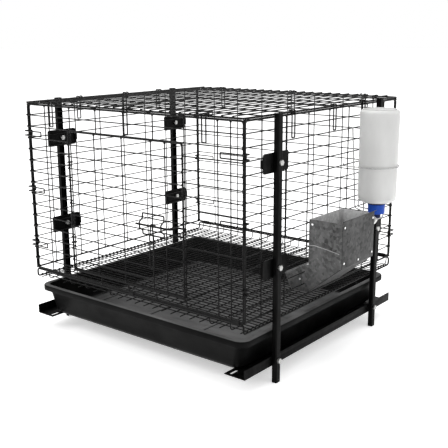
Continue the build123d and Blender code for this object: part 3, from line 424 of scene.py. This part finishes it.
STRAIGHT_MAX = 5 * MM
FRAME_R = 2 * MM
FRAME_WIRE_MIN = 3.5 * MM
BEND = 6 * MM
DROP_BEND = 9 * MM
WAVER = 0.12 * MM
WAVE_LENGTH = 38 * MM
TOUCH = 0.3 * MM
WELD_SPREAD = 1.3
WELD_HEIGHT = 0.72
CLIP_R = 1.4 * MM
CLIP_BEND = 1.5 * MM
CLIP_SPACING = 20 * MM
ROOF_HOOK = 3.2 * MM
CORNER_HOOK = 7.45 * MM
roof_low, roof_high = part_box("roof_panel")
CENTRE = (roof_low + roof_high) / 2


def straight_axis(low, high):
    """The axis that a straight wire's box runs along, or None where the wire is bent."""
    size = high - low
    long_axis = max(range(3), key=lambda a: size[a])
    others = [size[a] for a in range(3) if a != long_axis]
    return long_axis if max(others) < STRAIGHT_MAX else None


def wavering_wire(low, high, axis):
    """Points along a straight wire, which wanders a little as drawn wire does."""
    middle = (low + high) / 2
    start, end = middle.copy(), middle.copy()
    start[axis], end[axis] = low[axis], high[axis]
    length = high[axis] - low[axis]
    pieces = max(2, round(length / WAVE_LENGTH))
    sway = [a for a in range(3) if a != axis]
    points = []
    for i in range(pieces + 1):
        point = start.lerp(end, i / pieces)
        if 0 < i < pieces:
            for a in sway:
                point[a] += rng.uniform(-WAVER, WAVER)
        points.append(point)
    return points


def loop_corners(low, high, radius):
    """Corners of a rectangular wire loop's centre line, from its box and wire radius."""
    size = high - low
    flat = min(range(3), key=lambda a: size[a])
    u, v = [a for a in range(3) if a != flat]
    inset = Vector((radius, radius, radius))
    lo, hi = low + inset, high - inset
    corners = []
    for at_u, at_v in ((lo, lo), (hi, lo), (hi, hi), (lo, hi)):
        corner = (low + high) / 2
        corner[u], corner[v] = at_u[u], at_v[v]
        corners.append(corner)
    return corners


def frame_sides(low, high, radius):
    """The frame wire's four straight sides, as (axis, low corner, high corner, radius)."""
    size = high - low
    flat = min(range(3), key=lambda a: size[a])
    u, v = [a for a in range(3) if a != flat]
    sides = []
    for along, across in ((u, v), (v, u)):
        for end in (0, 1):
            lo, hi = low.copy(), high.copy()
            if end:
                lo[across] = hi[across] - 2 * radius
            else:
                hi[across] = lo[across] + 2 * radius
            if along == 0:
                lo[flat] = hi[flat] - 2 * radius
            else:
                hi[flat] = lo[flat] + 2 * radius
            sides.append((along, lo, hi, radius))
    return sides


def build_panel(name, frame_path, drop_path=None):
    """Rebuild a welded panel: its frame wire, its straight wires, its bends and its welds."""
    builder = bmesh.new()
    boxes = islands(nodes[name])
    thick = [box for box in boxes if min(box[1] - box[0]) > FRAME_WIRE_MIN]
    low = Vector([min(box[0][a] for box in thick) for a in range(3)])
    high = Vector([max(box[1][a] for box in thick) for a in range(3)])
    add_tube(builder, frame_path(low, high, FRAME_R), FRAME_R, 14, closed=True)
    wires = frame_sides(low, high, FRAME_R)
    for low, high in boxes:
        if min(high - low) > FRAME_WIRE_MIN:
            continue
        axis = straight_axis(low, high)
        radius = min(high - low) / 2
        if axis is None:
            add_tube(builder, drop_path(low, high), radius, 12)
        else:
            add_tube(builder, wavering_wire(low, high, axis), radius, 12)
            wires.append((axis, low, high, radius))
    for i, wire in enumerate(wires):
        for other in wires[i + 1 :]:
            add_weld(builder, wire, other)
    return finish_piece(f"{name}_wires", builder, name)


def add_weld(builder, wire, other):
    """Add the bead where two wires cross and touch."""
    axis, low, high, radius = wire
    axis_2, low_2, high_2, radius_2 = other
    if axis == axis_2:
        return
    inner = [max(a, b) for a, b in zip(low, low_2)]
    outer = [min(a, b) for a, b in zip(high, high_2)]
    if min(b - a for a, b in zip(inner, outer)) < -TOUCH:
        return
    centre = Vector([(a + b) / 2 for a, b in zip(inner, outer)])
    size = WELD_SPREAD * max(radius, radius_2) * rng.uniform(0.92, 1.08)
    add_nugget(builder, centre, size, 3 - axis - axis_2, WELD_HEIGHT * size)


def flat_frame(low, high, radius):
    """The path of a flat panel's frame wire."""
    return rounded_path(loop_corners(low, high, radius), BEND, closed=True)


def floor_rim(low, high, radius):
    """The path of the floor's rim: raised at the front and back, low along both sides."""
    lo, hi = low + Vector((radius,) * 3), high - Vector((radius,) * 3)
    corners = [
        Vector((lo.x, lo.y, hi.z)),
        Vector((hi.x, lo.y, hi.z)),
        Vector((hi.x, lo.y, lo.z)),
        Vector((hi.x, hi.y, lo.z)),
        Vector((hi.x, hi.y, hi.z)),
        Vector((lo.x, hi.y, hi.z)),
        Vector((lo.x, hi.y, lo.z)),
        Vector((lo.x, lo.y, lo.z)),
    ]
    return rounded_path(corners, BEND, closed=True)


def floor_drop(low, high):
    """The path of a long floor wire's end, which turns up to the rim."""
    radius = (high.x - low.x) / 2
    front = (low.y + high.y) / 2 < CENTRE.y
    outer, inner = (low.y + radius, high.y) if front else (high.y - radius, low.y)
    corners = [
        Vector((low.x + radius, inner, low.z + radius)),
        Vector((low.x + radius, outer, low.z + radius)),
        Vector((low.x + radius, outer, high.z)),
    ]
    return rounded_path(corners, DROP_BEND, steps=7)


for panel in ("front_wall", "back_wall", "left_wall", "right_wall", "roof_panel", "door_panel"):
    build_panel(panel, flat_frame)
build_panel("floor_panel", floor_rim, floor_drop)

# ------------------------------------------------------------------ clips and bent wires


def clip_path(low, high, radius, hook, upright, across):
    """The closed path of a clip: a long loop whose end turns over and hooks down.

    upright and across are the axes along and through the loop, and hook is the hook's depth.
    The side with the long leg is the one farther from the cage's centre.
    """
    lo, hi = low + Vector((radius,) * 3), high - Vector((radius,) * 3)
    wide = 3 - upright - across
    outside, inside = (lo[across], hi[across])
    if abs(hi[across] - CENTRE[across]) > abs(lo[across] - CENTRE[across]):
        outside, inside = inside, outside
    if upright == 2:
        foot, head = lo[2], hi[2]
    else:
        near_low = abs(lo[upright] - CENTRE[upright]) < abs(hi[upright] - CENTRE[upright])
        foot, head = (lo[upright], hi[upright]) if near_low else (hi[upright], lo[upright])
    lip = head - math.copysign(hook, head - foot)
    steps = [
        (lo, outside, foot),
        (hi, outside, foot),
        (hi, outside, head),
        (hi, inside, head),
        (hi, inside, lip),
        (lo, inside, lip),
        (lo, inside, head),
        (lo, outside, head),
    ]
    corners = []
    for side, depth, reach in steps:
        corner = Vector()
        corner[wide], corner[across], corner[upright] = side[wide], depth, reach
        corners.append(corner)
    return rounded_path(corners, CLIP_BEND, closed=True, steps=4)


def groups(boxes, axis, gap):
    """Group boxes that lie close together along an axis, and give each group's own box."""
    found = []
    for low, high in sorted(boxes, key=lambda box: box[0][axis]):
        if found and low[axis] < found[-1][1][axis] + gap:
            last = found[-1]
            last[0][:] = map(min, last[0], low)
            last[1][:] = map(max, last[1], high)
        else:
            found.append((low.copy(), high.copy()))
    return found


def build_clips(name, apart, upright, across, hook):
    """Rebuild a node of one or several clips that stand apart along an axis."""
    builder = bmesh.new()
    for low, high in groups(islands(nodes[name]), apart, CLIP_SPACING):
        add_tube(
            builder, clip_path(low, high, CLIP_R, hook, upright, across), CLIP_R, 12, closed=True
        )
    finish_piece(f"{name}_wire", builder, name)


for name in ("front_left", "front_middle", "front_right"):
    build_clips(f"{name}_clip", 0, 2, 1, ROOF_HOOK)
build_clips("roof_hinge_clips", 0, 2, 1, ROOF_HOOK)
for side in ("left", "right"):
    for name in ("front", "middle", "back"):
        build_clips(f"{side}_{name}_clip", 1, 2, 0, ROOF_HOOK)
for name in ("front_left", "front_right", "back_left", "back_right"):
    build_clips(f"{name}_corner_clips", 2, 0, 1, CORNER_HOOK)


def mm(x, y, z):
    """A point at x and y millimetres from the cage's centre line and z above the ground."""
    return Vector((CENTRE.x + x * MM, CENTRE.y + y * MM, z * MM))


def build_wires(node, wires, sides=12):
    """Rebuild a node from (corners, radius, bend, closed) wires, all in millimetres."""
    builder = bmesh.new()
    for corners, radius, bend, closed in wires:
        path = rounded_path([mm(*corner) for corner in corners], bend * MM, closed, 6)
        add_tube(builder, path, radius * MM, sides, closed)
    return finish_piece(f"{node}_wire", builder, node)


# Sizes in millimetres, from the cage's centre line and the ground
DOOR_HALF_W = 162.56
DOOR_Y = -298.1
DOOR_FACE_Y = -302.4
RING_R = 1.25
RING_HALF = 3.55
RING_BACK_Y = -289.9
RING_HEIGHTS = (232.7, 410.5)
GUIDE_R = 1.6
GUIDE_X = (58.4, 116.8)
GUIDE_Z = (287.8, 331.0)
BOLT_R = 2.0
BOLT_Y, BOLT_Z = -309.0, 308.1
BOLT_X = (43.5, 137.5, 160.4)
BOLT_TIP_Y = -287.9
BOLT_BUTTON_R, BOLT_BUTTON_L = 2.7, 5.0
BOLT_BEND = 5
HOOK_SLACK = 0.4
HANDLE_R = 1.4
HANDLE_X = 91.0
HANDLE_HALF_W, HANDLE_NECK = 5.4, 2.6
HANDLE_BOTTOM_Z = 221.0
BOTTLE_X, BOTTLE_Y, BOTTLE_R = 355.6, 115.6, 42.0
BAND_R = 1.2
BAND_HOOP_R = 44.5
BAND_Z = 399.5
BAND_HOOK = 6
HOOP_STEPS = 24
HOLDER_R = 1.4
HOLDER_HALF_W = 28.0

ring_wires = []
for z in RING_HEIGHTS:
    left, right = -DOOR_HALF_W - RING_HALF, -DOOR_HALF_W + RING_HALF
    front, back = DOOR_Y - RING_HALF, RING_BACK_Y
    corners = [(left, front, z), (right, front, z), (right, back, z), (left, back, z)]
    ring_wires.append((corners, RING_R, RING_HALF - 0.05, True))
build_wires("door_hinge_rings", ring_wires)

bridge_y = BOLT_Y - BOLT_R - HOOK_SLACK - GUIDE_R
flat_y = DOOR_FACE_Y - GUIDE_R + 0.1
rises = []
for x in GUIDE_X:
    steps = ((flat_y, -13), (bridge_y, -6), (bridge_y, 6), (flat_y, 13))
    rises.append([(x, y, BOLT_Z + z) for y, z in steps])
low, high = GUIDE_Z
guide = [
    (GUIDE_X[0], flat_y, low),
    (GUIDE_X[1], flat_y, low),
    *rises[1],
    (GUIDE_X[1], flat_y, high),
    (GUIDE_X[0], flat_y, high),
    *rises[0][::-1],
]
build_wires("latch_guide", [(guide, GUIDE_R, 2.5, True)], 14)

tail, jog, tip = BOLT_X
bolt = [
    (tail, BOLT_Y, BOLT_Z),
    (jog, BOLT_Y, BOLT_Z),
    (jog, BOLT_TIP_Y, BOLT_Z),
    (tip, BOLT_TIP_Y, BOLT_Z),
]
button = [(tip - BOLT_BUTTON_L, BOLT_TIP_Y, BOLT_Z), (tip, BOLT_TIP_Y, BOLT_Z)]
bolt_wires = [(bolt, BOLT_R, BOLT_BEND, False), (button, BOLT_BUTTON_R, 0, False)]
build_wires("latch_bolt", bolt_wires, 16)

front = BOLT_Y - BOLT_R - HOOK_SLACK - HANDLE_R
back = BOLT_Y + BOLT_R + HOOK_SLACK + HANDLE_R
top = BOLT_Z + BOLT_R + HOOK_SLACK + HANDLE_R
left, right = HANDLE_X - HANDLE_HALF_W, HANDLE_X + HANDLE_HALF_W
neck_left, neck_right = HANDLE_X - HANDLE_NECK, HANDLE_X + HANDLE_NECK
handle = [
    (left, front, HANDLE_BOTTOM_Z),
    (right, front, HANDLE_BOTTOM_Z),
    (right, front, GUIDE_Z[0]),
    (neck_right, front, BOLT_Z - 4),
    (neck_right, front, top),
    (neck_right, back, top),
    (neck_right, back, BOLT_Z - 1.5),
    (neck_left, back, BOLT_Z - 1.5),
    (neck_left, back, top),
    (neck_left, front, top),
    (neck_left, front, BOLT_Z - 4),
    (left, front, GUIDE_Z[0]),
]
build_wires("latch_handle", [(handle, HANDLE_R, 2, True)])

# The holder: two hooks over the wall, a V down it, and a stirrup under the bottle's cap
hook_x, wall_x, out_x = 296.7, 307.0, BOTTLE_X + 8
holder = []
for side in (-1, 1):
    half = [
        (hook_x, BOTTLE_Y + side * HOLDER_HALF_W, 471.8),
        (hook_x, BOTTLE_Y + side * HOLDER_HALF_W, 480.8),
        (wall_x, BOTTLE_Y + side * HOLDER_HALF_W, 480.8),
        (wall_x, BOTTLE_Y + side * 6.6, 302.0),
        (out_x, BOTTLE_Y + side * 24, 293.0),
        (out_x, BOTTLE_Y + side * 13, 284.5),
    ]
    holder += half if side < 0 else half[::-1]
build_wires("bottle_holder", [(holder, HOLDER_R, 3, False)])

# The band: an arc round the bottle whose ends run back to the wall and hook upwards
band_hook_x = 296.3
near, far = BOTTLE_Y - BAND_HOOP_R, BOTTLE_Y + BAND_HOOP_R
start = [
    mm(band_hook_x, near, BAND_Z + BAND_HOOK),
    mm(band_hook_x, near, BAND_Z),
    mm(BOTTLE_X, near, BAND_Z),
]
end = [
    mm(BOTTLE_X, far, BAND_Z),
    mm(band_hook_x, far, BAND_Z),
    mm(band_hook_x, far, BAND_Z + BAND_HOOK),
]
hoop = []
for k in range(1, HOOP_STEPS):
    angle = math.pi * (k / HOOP_STEPS - 0.5)
    out, along = BAND_HOOP_R * math.cos(angle), BAND_HOOP_R * math.sin(angle)
    hoop.append(mm(BOTTLE_X + out, BOTTLE_Y + along, BAND_Z))
builder = bmesh.new()
band_path = rounded_path(start, 2 * MM) + hoop + rounded_path(end, 2 * MM)
add_tube(builder, band_path, BAND_R * MM, 12)
finish_piece("bottle_band_wire", builder, "bottle_band")

# The springs: one bent wire beside each side plate of the feeder
FEEDER_Y = (-75.7, 53.4)
SPRING_R, SPRING_BEND = 0.9, 8
springs = []
for y in FEEDER_Y:
    corners = [(294.8, y, 253.0), (321.2, y, 256.5), (349.5, y, 252.8), (377.5, y, 247.9)]
    springs.append((corners, SPRING_R, SPRING_BEND, False))
build_wires("feeder_spring_wires", springs)

# ------------------------------------------------------------------ turned parts


def turned(builder, centre, profile, sides=64, flute=None):
    """Sweep an (r, z) profile, in metres, round the vertical line through centre.

    flute gives each profile point's radius change at an angle, for ribs and flats.
    """
    rings = []
    for i, (r, z) in enumerate(profile):
        if r < 1e-6:
            rings.append([builder.verts.new((centre[0], centre[1], z))])
            continue
        ring = []
        for k in range(sides):
            angle = 2 * math.pi * k / sides
            reach = r + (flute(i, angle) if flute else 0)
            spot = (centre[0] + reach * math.cos(angle), centre[1] + reach * math.sin(angle), z)
            ring.append(builder.verts.new(spot))
        rings.append(ring)
    for low, high in zip(rings, rings[1:]):
        for k in range(sides):
            nxt = (k + 1) % sides
            if len(low) == 1:
                builder.faces.new((low[0], high[k], high[nxt]))
            elif len(high) == 1:
                builder.faces.new((low[k], low[nxt], high[0]))
            else:
                builder.faces.new((low[k], low[nxt], high[nxt], high[k]))


def smooth_profile(points, steps=6):
    """A polyline whose corners, given as (r, z, radius), are turned by arcs."""
    path = []
    for i, (r, z, radius) in enumerate(points):
        corner = Vector((r, z))
        if not radius or i in (0, len(points) - 1):
            path.append((r, z))
            continue
        before, after = Vector(points[i - 1][:2]), Vector(points[i + 1][:2])
        back, ahead = (before - corner).normalized(), (after - corner).normalized()
        for k in range(steps + 1):
            t = k / steps
            point = (
                (corner + back * radius) * (1 - t) ** 2
                + corner * 2 * t * (1 - t)
                + (corner + ahead * radius) * t**2
            )
            path.append(tuple(point))
    return path


axis_point = mm(BOTTLE_X, BOTTLE_Y, 0)
bottle_low, bottle_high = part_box("bottle")
outer_r = BOTTLE_R * MM
wall = 1.5 * MM
top_z, base_z, neck_z = bottle_high.z, bottle_low.z + 22.5 * MM, bottle_low.z
NECK_R = 14 * MM
outside = smooth_profile(
    [
        (0, top_z - 3 * MM, 0),
        (outer_r - 11 * MM, top_z - 2.6 * MM, 5 * MM),
        (outer_r - 8.5 * MM, top_z, 2 * MM),
        (outer_r - 0.2 * MM, top_z, 8 * MM),
        (outer_r, top_z - 20 * MM, 3 * MM),
        (outer_r - 1 * MM, base_z + 14 * MM, 3 * MM),
        (outer_r - 1.3 * MM, base_z, 12 * MM),
        (NECK_R, base_z, 1.5 * MM),
        (NECK_R, neck_z, 0),
    ],
    8,
)
inside = smooth_profile(
    [
        (NECK_R - wall, neck_z, 0),
        (NECK_R - wall, base_z + wall, 1 * MM),
        (outer_r - 4 * MM, base_z + wall, 11 * MM),
        (outer_r - wall, top_z - 20 * MM, 3 * MM),
        (outer_r - wall - 0.2 * MM, top_z - 4.4 * MM, 7 * MM),
        (0, top_z - 4.6 * MM, 0),
    ],
    8,
)
builder = bmesh.new()
turned(builder, axis_point, outside + inside, 72)
finish_piece("bottle_shell", builder, "bottle", 30)

CAP_RIBS = 36
CAP_RIB_H = 0.5 * MM
RIBBED_RINGS = (11, 12, 13)
TUBE_HOLE_R = 4.1 * MM
cap_r = 18.5 * MM
cap_bottom = CAP_NOZZLE_Z


def cap_rib(i, angle):
    """Fine upright ribs on the cap's upper band."""
    return CAP_RIB_H * max(0.0, math.cos(CAP_RIBS * angle)) if i in RIBBED_RINGS else 0


skirt = [
    (TUBE_HOLE_R, cap_low.z),
    (8.6 * MM, cap_low.z),
    (9.6 * MM, cap_low.z + 0.6 * MM),
    (10 * MM, cap_low.z + 1.8 * MM),
    (10 * MM, cap_bottom - 0.4 * MM),
    (10.6 * MM, cap_bottom),
    (cap_r - 2.4 * MM, cap_bottom),
    (cap_r - 1 * MM, cap_bottom + 0.5 * MM),
    (cap_r - 0.4 * MM, cap_bottom + 1.6 * MM),
    (cap_r - 0.1 * MM, cap_bottom + 3 * MM),
    (cap_r - 0.1 * MM, CAP_BAND_Z - 2.4 * MM),
    (cap_r, CAP_BAND_Z - 1.6 * MM),
    (cap_r, CAP_BAND_Z + 2 * MM),
    (cap_r, cap_high.z - 1.2 * MM),
    (cap_r - 0.2 * MM, cap_high.z - 0.4 * MM),
    (cap_r - 0.9 * MM, cap_high.z),
    (NECK_R, cap_high.z),
    (NECK_R, cap_bottom + 2 * MM),
    (TUBE_HOLE_R, cap_bottom + 2 * MM),
    (TUBE_HOLE_R, cap_low.z),
]
builder = bmesh.new()
turned(builder, axis_point, skirt, CAP_RIBS * 6, cap_rib)
bmesh.ops.remove_doubles(builder, verts=builder.verts, dist=1e-7)
finish_piece("bottle_cap_shell", builder, "bottle_cap", 35)

# ------------------------------------------------------------------ tray


def rounded_rectangle(half_w, half_d, radius, z, steps):
    """Points round a rounded rectangle about the tray's centre, as (point, outward)."""
    points = []
    for turn, (sx, sy) in enumerate(((1, 1), (-1, 1), (-1, -1), (1, -1))):
        corner = Vector((sx * (half_w - radius), sy * (half_d - radius), 0))
        for k in range(steps + 1):
            angle = math.pi / 2 * (turn + k / steps)
            outward = Vector((math.cos(angle), math.sin(angle), 0))
            points.append((TRAY_CENTRE + corner + outward * radius + UP * z, outward))
    return points


tray_low, tray_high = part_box("tray")
TRAY_CENTRE = Vector(((tray_low.x + tray_high.x) / 2, (tray_low.y + tray_high.y) / 2, 0))
CORNER_STEPS = 10
SIDE_STEPS = 16
# Half width, half depth, corner radius and height above the tray's base, in millimetres, from
# the middle of its underside up the outside, over the turned-down rim and down the inside
TRAY_RINGS = (
    (266, 254, 16, 0),
    (270.5, 258.5, 20.5, 0.1),
    (272.5, 260.5, 22, 0.8),
    (279.5, 265.5, 22, 7.5),
    (280.3, 266.1, 22, 9),
    (290.5, 274.5, 18.2, 65),
    (291.7, 275.7, 18.5, 66.4),
    (298, 281, 22, 66.6),
    (299.3, 282.3, 22.8, 66),
    (299.5, 282.5, 22.9, 57.5),
    (300, 283, 23.3, 56.9),
    (301.5, 284.5, 24.6, 56.9),
    (302, 285, 25, 57.6),
    (302, 285, 25, 66.8),
    (301.4, 284.4, 24.5, 68.6),
    (299.6, 282.6, 23.2, 69.6),
    (291.5, 275.5, 17, 69.6),
    (289, 273, 15.5, 68.8),
    (288, 272, 15, 66.8),
    (277.5, 263.2, 19, 12.2),
    (276, 261.8, 18, 9.7),
    (269.6, 257.6, 17, 3.8),
    (267, 255, 15, 3.1),
    (262, 250, 11, 3),
)
RIB_XS = (-243.8, -81.3, 81.3, 243.8)
RIB_HALF_W = 6 * MM
RIB_H = 2.5 * MM
RIB_FOOT = 0.4 * MM
RIB_STEPS = 8
RIB_REACH = 263 * MM
CORNER_RIB_X = 200
CORNER_RIB_INSET = 12 * MM
TRAY_FLOOR_T = 3 * MM
TRAY_BOW = 0.5 * MM
BOW_HEIGHT = 0.1


def tray_ring(builder, half_w, half_d, radius, z):
    """One ring of the tray's section, with each side divided and bowed a little."""
    points = rounded_rectangle(half_w, half_d, radius, z, CORNER_STEPS)
    ring = []
    for i, (point, outward) in enumerate(points):
        ring.append(builder.verts.new(point))
        if i % (CORNER_STEPS + 1) < CORNER_STEPS:
            continue
        after = points[(i + 1) % len(points)][0]
        for k in range(1, SIDE_STEPS):
            spot = point.lerp(after, k / SIDE_STEPS)
            wave = math.sin(3 * math.pi * k / SIDE_STEPS + i)
            bow = TRAY_BOW * wave * min(1, z / BOW_HEIGHT)
            ring.append(builder.verts.new(spot + outward * bow))
    return ring


builder = bmesh.new()
rings = []
for half_w, half_d, radius, rise in TRAY_RINGS:
    size = [half_w * MM, half_d * MM, radius * MM]
    rings.append(tray_ring(builder, *size, tray_low.z + rise * MM))
for low, high in zip(rings, rings[1:]):
    for k in range(len(low)):
        nxt = (k + 1) % len(low)
        builder.faces.new((low[k], low[nxt], high[nxt], high[k]))
builder.faces.new(rings[0][::-1])
builder.faces.new(rings[-1])


def add_ridge(builder, path, side, half_width, height):
    """Add a rounded rib along (point, normal) pairs, with its foot just under the surface."""
    sections = []
    for point, normal in path:
        section = []
        for k in range(RIB_STEPS + 1):
            angle = math.pi * k / RIB_STEPS
            reach = side * math.cos(angle) * half_width
            lift = normal * (math.sin(angle) * height - RIB_FOOT)
            section.append(builder.verts.new(point + reach + lift))
        sections.append(section)
    for low, high in zip(sections, sections[1:]):
        for k in range(RIB_STEPS):
            builder.faces.new((low[k], low[k + 1], high[k + 1], high[k]))
        builder.faces.new((low[-1], low[0], high[0], high[-1]))
    builder.faces.new(sections[0][::-1])
    builder.faces.new(sections[-1])


floor_z = tray_low.z + TRAY_FLOOR_T
for x in RIB_XS:
    path = []
    for end in (-1, 1):
        inward = Vector((0, -end, 0))
        reach = RIB_REACH - (abs(x) > CORNER_RIB_X) * CORNER_RIB_INSET
        spots = [
            (reach + 1.2 * MM, 38 * MM, inward),
            (reach, 16 * MM, inward),
            (reach - 3.5 * MM, 7.5 * MM, (inward + UP * 0.6).normalized()),
            (reach - 9 * MM, 3 * MM, (inward * 0.4 + UP).normalized()),
            (reach - 18 * MM, 0, UP),
        ]
        half = [
            (Vector((TRAY_CENTRE.x + x * MM, TRAY_CENTRE.y + end * y, floor_z + z)), normal)
            for y, z, normal in spots
        ]
        path += half if end < 0 else half[::-1]
    add_ridge(builder, path, Vector((1, 0, 0)), RIB_HALF_W, RIB_H)
finish_piece("tray_moulding", builder, "tray", 50)

# ------------------------------------------------------------------ sheet metal


def softened(node, width, angle=25):
    """Stand in for a CAD node with a copy whose hard edges are rounded over."""
    builder = bmesh.new()
    builder.from_mesh(nodes[node].data)
    bmesh.ops.remove_doubles(builder, verts=builder.verts, dist=2e-6)
    bmesh.ops.dissolve_limit(
        builder, angle_limit=math.radians(1), verts=builder.verts, edges=builder.edges
    )
    limit = math.radians(angle)
    hard = [e for e in builder.edges if e.is_manifold and e.calc_face_angle(0) > limit]
    bmesh.ops.bevel(
        builder, geom=hard, offset=width, segments=2, profile=0.6, affect="EDGES", clamp_overlap=True
    )
    return finish_piece(f"{node}_sheet", builder, node, 30)


FEEDER_SHEETS = (
    "feeder_front_side",
    "feeder_back_side",
    "feeder_outer_panel",
    "feeder_trough",
    "feeder_inner_panel",
)
SHEET_EDGE = 0.22 * MM
RAIL_EDGE = 0.5 * MM
for node in FEEDER_SHEETS:
    softened(node, SHEET_EDGE)
for node in ("left_rail", "right_rail"):
    softened(node, RAIL_EDGE)

# ------------------------------------------------------------------ camera, floor and lights

camera = bpy.data.objects.new("camera", bpy.data.cameras.new("camera"))
bpy.context.scene.collection.objects.link(camera)
right = Vector((0.78064, 0.62496, -0.00566))
above = Vector((-0.14338, 0.18791, 0.97166))
ahead = Vector((-0.60831, 0.75771, -0.23630))
turn = Matrix((right, above, -ahead)).transposed().to_4x4()
camera.matrix_world = Matrix.Translation((1.0964, -1.3782, 0.6759)) @ turn
camera.data.lens = 62.74
camera.data.sensor_width = 36
camera.data.clip_start = 0.05
camera.data.clip_end = 100
bpy.context.scene.camera = camera

builder = bmesh.new()
bmesh.ops.create_grid(builder, x_segments=1, y_segments=1, size=30)
floor_mesh = bpy.data.meshes.new("floor")
builder.to_mesh(floor_mesh)
builder.free()
floor = bpy.data.objects.new("floor", floor_mesh)
bpy.context.scene.collection.objects.link(floor)
floor_material, _, _ = new_material(
    "floor", Base_Color=(0.92, 0.92, 0.92, 1), Roughness=0.9, Emission_Color=(1, 1, 1, 1)
)
floor_material.node_tree.nodes["Principled BSDF"].inputs["Emission Strength"].default_value = 0.45
floor_mesh.materials.append(floor_material)
floor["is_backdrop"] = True


def area_light(name, place, target, size, power):
    """A square soft light aimed at a point."""
    lamp = bpy.data.lights.new(name, "AREA")
    lamp.size = size
    lamp.energy = power
    light = bpy.data.objects.new(name, lamp)
    bpy.context.scene.collection.objects.link(light)
    light.location = place
    light.rotation_mode = "QUATERNION"
    aim = Vector(target) - Vector(place)
    light.rotation_quaternion = aim.to_track_quat("-Z", "Y")


area_light("key", (-1.6, -2.4, 2.6), (0, 0, 0.3), 2.0, 40)
area_light("side", (3.0, 0.6, 1.6), (0, 0, 0.3), 1.6, 5)
area_light("top", (0.0, 0.4, 3.2), (0, 0, 0.2), 2.4, 30)
world = bpy.data.worlds.new("studio")
world.use_nodes = True
background = world.node_tree.nodes["Background"]
background.inputs["Color"].default_value = (1, 1, 1, 1)
background.inputs["Strength"].default_value = 1.0
bpy.context.scene.world = world
bpy.context.scene.view_settings.view_transform = "Standard"

low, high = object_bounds()
sizes = {"cad": [list(corner) for corner in cad_box], "visual": [list(low), list(high)]}
